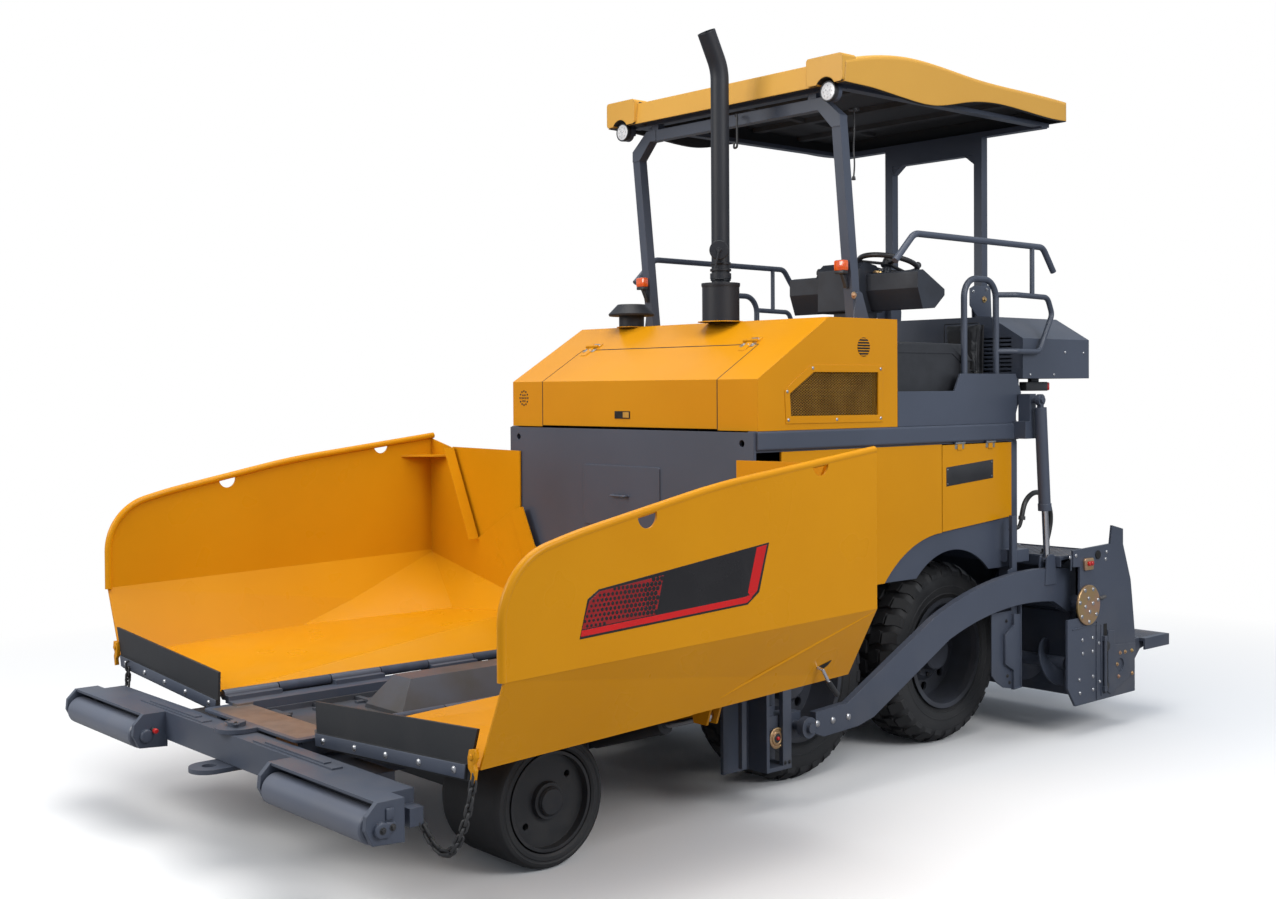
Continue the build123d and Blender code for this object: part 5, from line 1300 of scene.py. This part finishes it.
# %% Post bolts and gussets
for side, word in SIDES:
    stand(f"post_bolt_{word}", [((side * 0.8385, 0.428, 2.546), (side, 0, 0))], hex_bolt, "chassis",
          gold_zinc, size=0.019)
    bm = bmesh.new()
    prism_into(bm, [(2.120, 2.690), (2.076, 2.672), (2.076, 2.566), (2.150, 2.497), (2.304, 2.497), (2.292, 2.700)], 0,
               0.3885, 0.3965, side)
    fit(f"post_gusset_{word}", bm, "chassis", "grey_paint", grey_paint, soft=0.002)
    stand(f"gusset_bolts_{word}", [((side * 0.3967, 2.222, 2.607), (side, 0, 0))], hex_bolt, "chassis",
          gold_zinc, size=0.021)
    on_flank(f"gusset_screws_{word}", side * 0.3967, ((2.108, 2.655), (2.250, 2.672)), hex_bolt, "chassis", zinc,
             0.011)
    on_flank(f"cabinet_screws_{word}", side * 1.0102, ((1.815, 2.122), (2.062, 2.122), (2.181, 2.257),
                                                       (2.381, 2.256)), dome_head, "chassis", zinc, 0.0085)
bm = bmesh.new()
handle = smooth_line([(0.088, 0.300, 3.592), (0.108, 0.276, 3.594), (0.128, 0.270, 3.590), (0.128, 0.270, 3.560),
                      (0.128, 0.270, 3.440), (0.128, 0.270, 3.408), (0.110, 0.272, 3.404), (0.090, 0.280, 3.410),
                      (0.086, 0.290, 3.440)])
tube_into(bm, handle, 0.0062, 10)
fit("grab_handle", bm, "chassis", "black_steel", black_steel, smooth=50)
bm = bmesh.new()
strap = smooth_line([(0.70, 0.60, 3.575), (0.705, 0.60, 3.46), (0.693, 0.602, 3.36), (0.706, 0.60, 3.27),
                     (0.696, 0.60, 3.205)])
tube_into(bm, strap, 0.0045, 8)
spin_into(bm, [(0, 0), (0, 0.010), (0.004, 0.012), (0.020, 0.009), (0.022, 0)], (0.696, 0.60, 3.190), (0, 0, 1), 12)
spin_into(bm, [(0, 0), (0, 0.030), (0.010, 0.030), (0.012, 0.02), (0.012, 0)], (0.70, 0.60, 3.570), (0, 0, 1), 16)
fit("switch_pull", bm, "chassis", "black_steel", black_plastic, smooth=50)
print("handle points:", len(handle))

# %% [markdown]
# ## Canopy ribs and headlining
# Under the roof moulding, folded ribs cross from side to side and one runs along the middle. They
# stop the thin skin drumming. Each follows the moulding's underside, so its heights are read from
# the roof itself by casting a ray upwards at each step.

# %% Ribs under the roof
bpy.context.view_layer.update()
roof = nodes["canopy_roof"]


def roof_height(x, y):
    hit, place, _, _ = roof.ray_cast(Vector((x, y, 3.0)), Vector((0, 0, 1)))
    return place.z if hit else 3.77


lining = finish("roof_lining", (0.022, 0.023, 0.025), (0.030, 0.030, 0.031), 0.75, scale=6, grain=300, depth=0.5)
bm = bmesh.new()
for y in (0.62, 1.06, 1.50, 1.94):
    top = min(roof_height(x, y + d) for x in (0, 0.5) for d in (-0.03, 0.03)) + 0.004
    outline = [(y - 0.045, top), (y + 0.045, top), (y + 0.030, top - 0.030), (y - 0.030, top - 0.030)]
    prism_into(bm, outline, 0, -0.900, 0.900)
for x in (-0.46, 0.46):
    low = []
    for y in (0.36 + 0.082 * k for k in range(23)):
        top = roof_height(x, y) + 0.003
        low.append([bm.verts.new((x - 0.034, y, top)), bm.verts.new((x + 0.034, y, top)),
                    bm.verts.new((x + 0.022, y, top - 0.024)), bm.verts.new((x - 0.022, y, top - 0.024))])
    skin_into(bm, low)
fit("roof_ribs", bm, "chassis", "canopy_yellow", lining)
print("ribs made")

# %% [markdown]
# ## Exhaust and air intake fittings
# Where the muffler passes through the hood there is a gap, drawn as a flat ring of painted shade,
# with a turned-up lip. The stack is held by a band clamp, and a flat counterweighted disc of the
# rain flap stands off its front.

# %% Hood gap, clamp and flap disc
bm = bmesh.new()
# Material 0 is a flat ring of painted shade for each gap; material 1 is the yellow lip.
for centre, inner in (((0.238, 0.025), 0.1015), ((-0.557, 0.075), 0.062)):
    spin_into(bm, [(0.0004, inner), (0.0004, inner + 0.022), (0.0018, inner + 0.022), (0.0018, inner),
                   (0.0004, inner)], (*centre, 2.415), (0, 0, 1), 48, 0)
    spin_into(bm, [(-0.002, inner + 0.020), (-0.002, inner + 0.026), (0.0025, inner + 0.025), (0.0032, inner + 0.022),
                   (0.0028, inner + 0.020), (-0.002, inner + 0.020)], (*centre, 2.415), (0, 0, 1), 48, 1)
fit("hood_openings", bm, "chassis", "yellow_paint", hole_shade_and_seal_black, yellow_paint, smooth=40)
STACK = (0.238, 0.025)
FLAP_AIM = Vector((0.62, -0.785, 0)).normalized()
bm = bmesh.new()
hub = Vector((*STACK, 2.802)) + 0.050 * FLAP_AIM
spin_into(bm, [(0, 0), (0, 0.018), (0.012, 0.018), (0.012, 0.050), (0.015, 0.053), (0.021, 0.053), (0.024, 0.050),
               (0.024, 0.014), (0.030, 0.012), (0.030, 0)], hub, FLAP_AIM, 40)
across = Vector((FLAP_AIM.y, -FLAP_AIM.x, 0))
tube_into(bm, [hub + 0.028 * FLAP_AIM, hub + 0.028 * FLAP_AIM + Vector((0, 0, -0.055)) + 0.010 * across,
               hub + 0.026 * FLAP_AIM + Vector((0, 0, -0.098)) + 0.020 * across], 0.0055, 8)
for level in (2.640, 2.726):
    spin_into(bm, [(0, 0.049), (0, 0.0555), (0.014, 0.0555), (0.014, 0.049), (0, 0.049)], (*STACK, level), (0, 0, 1),
              40)
    clamp = Vector((*STACK, level + 0.007)) + 0.056 * FLAP_AIM
    spin_into(bm, [(-0.024, 0), (-0.024, 0.0045), (0.024, 0.0045), (0.024, 0)], clamp, across, 8)
spin_into(bm, [(0, 0.098), (0, 0.1045), (0.010, 0.1055), (0.014, 0.103), (0.014, 0.094), (0, 0.098)], (*STACK, 2.606),
          (0, 0, 1), 48)
fit("stack_fittings", bm, "chassis", "black_steel", stack_paint, smooth=40)
print("stack fittings done")

# %% [markdown]
# ## Dashboard
# Behind the wheel sit a round gauge, rows of rocker switches and turn knobs, a joystick for the
# speed and a red stop button. A spinner knob sits on the steering wheel's rim. All are small
# spun or rounded shapes laid on the sloping trays.

# %% Dashboard pieces
TRAY_TILT = math.atan2(0.46, 0.89)
dial_white = finish("dial_white", (0.55, 0.55, 0.53), (0.60, 0.60, 0.58), 0.35, scale=50, depth=0.02)


def tray_seat(x, y):
    """A place on the sloping tray that dips towards the driver."""
    height = 2.678 + (0.95 - y) * 0.52
    return Matrix.Translation((x, y, height)) @ Matrix.Rotation(-TRAY_TILT, 4, "X")


switch_places = [(x, y) for y in (0.930, 0.985) for x in (0.115, 0.155, 0.195, 0.235)]
switch_places += [(x, y) for y in (0.930, 0.985) for x in (0.690, 0.730, 0.770)]
bm = bmesh.new()
for x, y in switch_places:
    part = bmesh.new()
    box_into(part, (-0.011, -0.017, -0.003), (0.011, 0.017, 0.004))
    box_into(part, (-0.008, -0.013, 0.003), (0.008, 0.012, 0.009))
    bmesh.ops.transform(part, matrix=tray_seat(x, y), verts=part.verts)
    mesh = bpy.data.meshes.new("switch")
    part.to_mesh(mesh)
    part.free()
    bm.from_mesh(mesh)
    bpy.data.meshes.remove(mesh)
fit("rocker_switches", bm, "chassis", "console_plastic", black_plastic, soft=0.0012)


def lay_on_tray(name, x, y, profiles, materials):
    """Spin profiles, one for each material, and stand them on the tray."""
    bm = bmesh.new()
    for index, profile in enumerate(profiles):
        spin_into(bm, profile, (0, 0, 0), (0, 0, 1), 28, index)
    bmesh.ops.transform(bm, matrix=tray_seat(x, y), verts=bm.verts)
    fit(name, bm, "chassis", "console_plastic", *materials, smooth=35)


lay_on_tray("stop_button", 0.770, 1.058, [[(-0.002, 0), (-0.002, 0.024), (0.006, 0.024), (0.008, 0.020), (0.008, 0)],
                                          [(0.006, 0), (0.006, 0.012), (0.018, 0.012), (0.020, 0.022), (0.030, 0.022),
                                           (0.034, 0.018), (0.035, 0)]], (gold_zinc, red_plastic))
for i, (x, y) in enumerate(((0.845, 0.960), (0.150, 1.050), (0.235, 1.050))):
    lay_on_tray(f"turn_knob_{i}", x, y, [[(-0.002, 0), (-0.002, 0.019), (0.004, 0.019), (0.006, 0.013), (0.022, 0.011),
                                          (0.024, 0.009), (0.024, 0)]], (black_plastic,))
lay_on_tray("fuel_gauge", 0.600, 0.925, [[(-0.002, 0), (-0.002, 0.034), (0.010, 0.034), (0.013, 0.031), (0.010, 0.028),
                                          (0.010, 0)], [(0.0102, 0), (0.0102, 0.027), (0.0108, 0.027), (0.0108, 0)]],
            (gold_zinc, dial_white))
lay_on_tray("joystick_0", 0.060, 0.990, [[(-0.002, 0), (-0.002, 0.028), (0.008, 0.026), (0.020, 0.016), (0.030, 0.009),
                                          (0.075, 0.007), (0.080, 0.013), (0.096, 0.018), (0.112, 0.016),
                                          (0.118, 0.008), (0.119, 0)]], (black_plastic,))

WHEEL_HUB = Vector((0.600, 1.014, 2.758))
WHEEL_AXIS = Vector((0, 0.258819, 0.965926))
rim_point = WHEEL_HUB + Matrix.Rotation(2.4, 3, WHEEL_AXIS) @ (0.165 * Vector((1, 0, 0)))
bm = bmesh.new()
spin_into(bm, [(0, 0), (0, 0.012), (0.020, 0.010), (0.028, 0.020), (0.040, 0.025), (0.052, 0.022), (0.058, 0.012),
               (0.059, 0)], rim_point, WHEEL_AXIS, 24)
spin_into(bm, [(0.012, 0), (0.012, 0.034), (0.026, 0.032), (0.034, 0.024), (0.036, 0)], WHEEL_HUB, WHEEL_AXIS, 32)
fit("spinner_knob", bm, "steering_wheel", "console_plastic", black_plastic, smooth=40)
print("dashboard pieces:", len(switch_places) + 7)

# %% [markdown]
# ## Side consoles
# On each side of the standing place a black moulded box with a sloped end covers the valves. It is
# a prism with generous edge rounding, plus two chrome over-centre latches.

# %% Valve boxes
for side, word in SIDES:
    bm = bmesh.new()
    prism_into(bm, [(0.70, 2.200), (1.425, 2.200), (1.378, 2.212), (1.300, 2.296), (0.70, 2.302)], 0, 0.800, 0.905,
               side)
    fit(f"valve_box_lid_{word}", bm, "chassis", "console_plastic", black_plastic, soft=0.010)
    bm = bmesh.new()
    prism_into(bm, [(0.72, 2.060), (1.370, 2.060), (1.390, 2.202), (0.72, 2.202)], 0, 0.815, 0.893, side)
    fit(f"valve_box_{word}", bm, "chassis", "console_plastic", black_steel, soft=0.004)
    bm = bmesh.new()
    for y in (0.93, 1.20):
        prism_into(bm, oblong(y - 0.018, 2.168, y + 0.018, 2.214), 0, 0.903, 0.910,
                   side)
    fit(f"box_latches_{word}", bm, "chassis", "worn_steel", zinc, soft=0.0015)
print("valve boxes done")

# %% [markdown]
# ## Screed bolts
# The end gates are boxed from plates bolted in columns. The positions follow the real rows, and one
# tree call stands all the heads of one kind, so the left and right gates differ only by a sign.

# %% Gate bolts
GATE_FACE = 1.2532
GATE_BOLTS = [(1.974, 0.570), (2.083, 0.572), (1.978, 0.490), (2.083, 0.491), (2.152, 0.532), (1.942, 0.341),
              (2.087, 0.342), (2.160, 0.302), (1.948, 0.262), (2.089, 0.264), (1.846, 1.062), (1.908, 1.068),
              (2.237, 1.066), (2.226, 1.024)]
BRACKET_BOLTS = [(2.371, 0.449), (2.427, 0.448), (2.503, 0.448), (2.338, 0.384), (2.507, 0.309), (2.353, 0.309)]
DISC_Y, DISC_Z = 2.025, 0.771
disc_bolts = [(DISC_Y + r * math.cos(a), DISC_Z + r * math.sin(a))
              for r, steps in ((0.098, turns(7, 0.25)), (0.040, turns(4, 0.1))) for a in steps]
for side, word in SIDES:
    body = f"screed_extension_{word}"
    on_flank(f"gate_bolts_{word}", side * GATE_FACE, GATE_BOLTS, dome_head, body, zinc, 0.0115)
    on_flank(f"bracket_bolts_{word}", side * 1.2612, BRACKET_BOLTS, hex_bolt, body, gold_zinc, 0.0125)
    bm = bmesh.new()
    spin_into(bm, [(-0.008, 0), (-0.008, 0.118), (0.0015, 0.118), (0.004, 0.1155), (0.004, 0)],
              (side * 1.263, DISC_Y, DISC_Z), (side, 0, 0), 64)
    fit(f"gate_disc_{word}", bm, body, "worn_steel", gold_zinc, smooth=35)
    on_flank(f"disc_bolts_{word}", side * 1.2668, disc_bolts, dome_head, body, zinc, 0.0125)
print("bolts on each gate:", len(GATE_BOLTS) + len(BRACKET_BOLTS) + len(disc_bolts))

# %% [markdown]
# ## Gate fittings
# A brass valve block with two red caps sits high on the gate, and a threaded adjuster screw runs in
# its channel further back. Seam strips follow the joints between the plates. They are prisms and
# spun solids, kept apart where their finish differs.

# %% Valve, seam strips, adjuster
for side, word in SIDES:
    body = f"screed_extension_{word}"
    bm = bmesh.new()
    prism_into(bm, [(1.985, 0.976), (2.072, 0.976), (2.078, 1.030), (2.068, 1.046), (1.990, 1.046), (1.980, 1.030)], 0,
               1.2525, 1.268, side)
    fit(f"valve_block_{word}", bm, body, "worn_steel", gold_zinc, soft=0.003)
    bm = bmesh.new()
    for y in (2.018, 2.048):
        spin_into(bm, [(0, 0), (0, 0.013), (0.012, 0.013), (0.015, 0.009), (0.015, 0)],
                  (side * 1.266, y, 1.014), (side, 0, 0), 16)
    prism_into(bm, oblong(2.006, 1.019, 2.060, 1.028), 0, 1.272, 1.275, side)
    fit(f"valve_caps_{word}", bm, body, "worn_steel", red_plastic, smooth=35)

    bm = bmesh.new()
    for low, high, z0, z1 in ((2.118, 2.134, 0.215, 0.640), (2.170, 2.180, 0.215, 0.640)):
        prism_into(bm, oblong(low, z0, high, z1), 0, 1.2525, 1.2575, side)
    prism_into(bm, [(1.868, 0.636), (2.135, 0.646), (2.135, 0.656), (1.868, 0.646)], 0, 1.2525, 1.2575, side)
    prism_into(bm, oblong(1.848, 0.985, 1.856, 1.075), 0, 1.2525, 1.2575, side)
    fit(f"gate_seams_{word}", bm, body, "grey_paint", screed_paint, soft=0.0012)
    # The channel is a thin plate of painted shade where the screw runs.
    bm = bmesh.new()
    prism_into(bm, [(2.200, 0.640), (2.236, 0.640), (2.236, 0.240), (2.200, 0.225)], 0, 1.2528, 1.2545, side)
    fit(f"adjuster_channel_{word}", bm, body, "black_steel", hole_shade_and_seal_black)
    bm = bmesh.new()
    spin_into(bm, [(0, 0), (0, 0.032), (0.006, 0.032), (0.008, 0.028), (0.008, 0.015), (0.012, 0.012), (0.012, 0)],
              (side * 1.2535, 2.232, 0.505), (side, 0, 0), 28)
    spin_into(bm, [(0, 0), (0, 0.008), (0.330, 0.008), (0.330, 0)], (side * 1.2600, 2.218, 0.235), (0, 0, 1), 10)
    for k in range(34):
        spin_into(bm, [(0, 0.0075), (0.0022, 0.0098), (0.0044, 0.0075)], (side * 1.2600, 2.218, 0.290 + 0.0046 * k),
                  (0, 0, 1), 10)
    box_low, box_high = sorted((side * 1.2530, side * 1.2680))
    box_into(bm, (box_low, 2.200, 0.252), (box_high, 2.238, 0.285))
    fit(f"adjuster_screw_{word}", bm, body, "black_steel", black_steel, smooth=35)
    # The hole is a flat disc of painted shade.
    bm = bmesh.new()
    spin_into(bm, [(0, 0), (0, 0.026), (0.006, 0.026), (0.006, 0)], (side * 1.2528, 2.138, 1.057),
              (side, 0, 0), 24)
    fit(f"gate_hole_{word}", bm, body, "black_steel", hole_shade_and_seal_black, smooth=35)
    bm = bmesh.new()
    tube_into(bm, [Vector((side * 1.262, 2.140, 0.800)), Vector((side * 1.272, 2.165, 0.803)),
                   Vector((side * 1.270, 2.190, 0.806))], 0.011, 12)
    fit(f"disc_handle_{word}", bm, body, "black_steel", cast_iron, smooth=40)
print("gate fittings done")

# %% [markdown]
# ## Chequer plate
# Deck and walkways are chequer plate: small raised lozenges in rows, each turned a quarter from
# its neighbour so that boots grip either way. The lozenge has ten faces and is stood on a lattice
# by the fastener tree; the two directions are the two spins.

# %% Chequer lozenges
bm = bmesh.new()
foot = [(0.0150, 0), (0, 0.0042), (-0.0150, 0), (0, -0.0042)]
low = [bm.verts.new((x, y, -0.0002)) for x, y in foot]
high = [bm.verts.new((0.74 * x, 0.6 * y, 0.0016)) for x, y in foot]
skin_into(bm, [low, high])
lozenge = template("lozenge_master", bm)
tread_steel = finish("tread_steel", (0.155, 0.125, 0.105), (0.075, 0.072, 0.078), 0.40, 0.5, scale=6)


def chequer(name, low, high, height, body, pitch=0.027):
    places = []
    for i in range(int((high[0] - low[0]) / pitch)):
        for k in range(int((high[1] - low[1]) / pitch)):
            places.append(((low[0] + (i + 0.5) * pitch, low[1] + (k + 0.5) * pitch, height), (0, 0, 1),
                           math.pi / 4 if (i + k) % 2 else -math.pi / 4))
    stand(name, places, lozenge, body, tread_steel)
    return len(places)


count = chequer("deck_chequer", (-1.165, 1.875), (1.165, 2.318), 1.056, "screed")
for side, word in SIDES:
    low_x, high_x = sorted((side * 0.030, side * 1.240))
    count += chequer(f"walkway_chequer_{word}", (low_x, 2.684), (high_x, 2.950), 0.500, f"screed_extension_{word}")
print("lozenges:", count)

# %% [markdown]
# ## Walkway edge and deck rim
# A thin rail of flat bar runs round the deck, and the walkways hang from triangular brackets. The
# bars keep hot mix from rolling off and stiffen the plate's edge.

# %% Deck bars
bm = bmesh.new()
for y0, y1 in ((1.862, 1.868), (2.322, 2.328)):
    box_into(bm, (-1.170, y0, 1.050), (1.170, y1, 1.0625))
for x in (-1.174, 0.0, 1.168):
    box_into(bm, (x, 1.866, 1.050), (x + 0.006, 2.324, 1.0612))
fit("deck_bars", bm, "screed", "grey_paint", screed_paint, soft=0.001)
deck_screws = [((x, y, 1.056), (0, 0, 1)) for x in (-1.12, -0.60, -0.06, 0.06, 0.60, 1.12) for y in (1.89, 2.30)]
stand("deck_screws", deck_screws, dome_head, "screed", zinc, size=0.010)
print("deck screws:", len(deck_screws))

# %% [markdown]
# ## Material guard beside the auger
# A folded guard plate hangs from the frame just ahead of the auger, stepped to clear the chain
# case. Its notched edge is turned outwards to stiffen it.

# %% Auger guard
for side, word in SIDES:
    bm = bmesh.new()
    prism_into(bm, [(1.330, 0.770), (1.524, 0.770), (1.524, 0.690), (1.438, 0.642), (1.438, 0.476), (1.524, 0.430),
                    (1.524, 0.322), (1.440, 0.338), (1.380, 0.372), (1.330, 0.420)], 0, 1.070, 1.076, side)
    edge_line = [(1.524, 0.752), (1.524, 0.688), (1.440, 0.640), (1.440, 0.477), (1.524, 0.430), (1.524, 0.322)]
    for (y0, z0), (y1, z1) in zip(edge_line, edge_line[1:]):
        run = Vector((y1 - y0, z1 - z0)).normalized()
        across = Vector((-run.y, run.x)) * 0.003
        prism_into(bm, [(y0 - across.x, z0 - across.y), (y1 - across.x, z1 - across.y), (y1 + across.x, z1 + across.y),
                        (y0 + across.x, z0 + across.y)], 0, 1.072, 1.094, side)
    prism_into(bm, [(1.520, 0.318), (1.600, 0.322), (1.600, 0.330), (1.520, 0.326)], 0, 1.072, 1.094, side)
    prism_into(bm, [(1.440, 0.477), (1.524, 0.430), (1.524, 0.322), (1.594, 0.326), (1.594, 0.745), (1.524, 0.752),
                    (1.524, 0.688), (1.440, 0.640)], 0, 1.082, 1.088, side)
    prism_into(bm, oblong(1.591, 0.324, 1.597, 0.905), 0, 1.072, 1.094, side)
    fit(f"auger_guard_{word}", bm, "chassis", "grey_paint", grey_paint, soft=0.001)
    on_flank(f"guard_bolts_{word}", side * 1.0762, ((1.470, 0.715), (1.500, 0.665), (1.480, 0.400), (1.500, 0.360)),
             hex_bolt, "chassis", black_steel, 0.011)
print("guards done")

# %% [markdown]
# ## Hose ends
# Each hose leaves a bent steel pipe on the rear post and ends in a hex union on the deck.

# %% Pipe stubs and unions
for side, word in SIDES:
    bm = bmesh.new()
    tube_into(bm, smooth_line([(side * 0.965, 1.640, 1.222), (side * 1.000, 1.672, 1.222),
                               (side * 1.018, 1.698, 1.240), (side * 1.020, 1.707, 1.292)]), 0.0115, 12)
    disc_into(bm, (side * 1.020, 1.7078, 1.276), (0, 0.15, 1), 0.0205, 0.022, sides=6)
    fit(f"hose_stub_{word}", bm, "chassis", "black_steel", black_steel, smooth=35)
    bm = bmesh.new()
    disc_into(bm, (side * 0.995, 1.985, 1.054), (0, 0, 1), 0.030, 0.010)
    disc_into(bm, (side * 0.995, 1.985, 1.064), (0, 0, 1), 0.0215, 0.022, sides=6)
    fit(f"hose_union_{word}", bm, "screed", "black_steel", black_steel, smooth=35)
print("hose ends done")

# %% [markdown]
# ## Seat cushions
# Two flat seats face the consoles. Each has a foam squab and a backrest in black vinyl. Foam in a
# sewn cover bulges in the middle and is pulled in along its seams, and cloth simulation with a
# little air pressure gives just that. The pad starts smaller than its space, is remeshed into even
# small faces, is blown up for a few frames with each point's travel limited, and the result is
# kept as a plain mesh. A welt cord of vinyl runs along the seam.

# %% Blow up a pad
SHRINK, PUFF_LIMIT, PUFF_FRAMES = 0.010, 0.014, 14


def puffed_pad(name, outline, x_low, x_high):
    """A pad from an outline of (y, z) corners pushed along x, swollen by cloth pressure."""
    bm = bmesh.new()
    middle = Vector([sum(values) / len(outline) for values in zip(*outline)])
    small = [Vector(corner) - (Vector(corner) - middle).normalized() * SHRINK for corner in outline]
    prism_into(bm, [tuple(corner) for corner in small], 0, x_low + SHRINK, x_high - SHRINK)
    pad = add_mesh(name, bm, vinyl)
    soft_edges = pad.modifiers.new("round", "BEVEL")
    soft_edges.width = 0.016
    soft_edges.segments = 4
    plain(pad)
    even = pad.modifiers.new("even faces", "REMESH")
    even.mode = "VOXEL"
    even.voxel_size = 0.008
    plain(pad)
    before = [v.co.copy() for v in pad.data.vertices]
    bpy.context.view_layer.objects.active = pad
    cloth = pad.modifiers.new("cloth", "CLOTH")
    cloth.settings.use_pressure = True
    cloth.settings.uniform_pressure_force = 4.0
    cloth.settings.effector_weights.gravity = 0.0
    cloth.settings.quality = 5
    cloth.settings.tension_stiffness = 12
    cloth.settings.compression_stiffness = 12
    scene = bpy.context.scene
    for step in range(1, PUFF_FRAMES + 1):
        scene.frame_set(step)
    swollen = pad.evaluated_get(bpy.context.evaluated_depsgraph_get())
    after = [v.co.copy() for v in swollen.data.vertices]
    pad.modifiers.clear()
    for vertex, start, end in zip(pad.data.vertices, before, after):
        travel = end - start
        if travel.length > PUFF_LIMIT:
            travel = travel.normalized() * PUFF_LIMIT
        vertex.co = start + travel
    scene.frame_set(1)
    return pad


SQUAB = oblong(1.320, 2.080, 1.606, 2.158)
BACKREST = [(1.612, 2.092), (1.671, 2.092), (1.6835, 2.438), (1.628, 2.438)]
SEAT_LOW, SEAT_HIGH = 0.524, 0.786
pads = []
for shape, outline in (("squab", SQUAB), ("backrest", BACKREST)):
    pad = puffed_pad(f"seat_{shape}_left", outline, SEAT_LOW, SEAT_HIGH)
    room = [(SEAT_LOW, SEAT_HIGH)] + [(min(values), max(values)) for values in zip(*outline)]
    for vertex in pad.data.vertices:
        for axis, (low, high) in enumerate(room):
            vertex.co[axis] = min(high + 0.004, max(low - 0.001, vertex.co[axis]))
    smoother = pad.modifiers.new("smooth", "SUBSURF")
    smoother.levels = smoother.render_levels = 1
    plain(pad)
    mirrored = moved_copy(pad, f"seat_{shape}_right", (0, 0, 0), flip=True)
    pads += [pad, mirrored]
for pad in pads:
    pad.data.shade_smooth()
    finished(pad, "chassis")
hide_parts("seat_cushions")
print("cushion faces:", [len(p.data.polygons) for p in pads])

# %% [markdown]
# ## Welts
# A piped welt covers the sewn seam round each squab and backrest. It is a thin closed tube that
# follows a rounded rectangle just outside the pad's widest line.

# %% Welt cords
def welt(name, corners, side):
    ring = []
    for i, here in enumerate(corners):
        before, after = Vector(corners[i - 1]), Vector(corners[(i + 1) % len(corners)])
        here = Vector(here)
        ring += [here + (before - here) * 0.5, here + (before - here).normalized() * 0.020, here,
                 here + (after - here).normalized() * 0.020]
    line = smooth_line([(side * p[0], p[1], p[2]) for p in ring], cyclic=True)
    bm = bmesh.new()
    tube_into(bm, line, 0.0035, 8, closed=True)
    return fit(name, bm, "chassis", "seat_vinyl", vinyl, smooth=60)


for side, word in SIDES:
    welt(f"squab_welt_{word}", [(0.530, 1.326, 2.146), (0.780, 1.326, 2.146), (0.780, 1.600, 2.146),
                                (0.530, 1.600, 2.146)], side)
    welt(f"backrest_welt_{word}", [(0.530, 1.617, 2.100), (0.780, 1.617, 2.100), (0.780, 1.632, 2.430),
                                   (0.530, 1.632, 2.430)], side)
print("welts done")
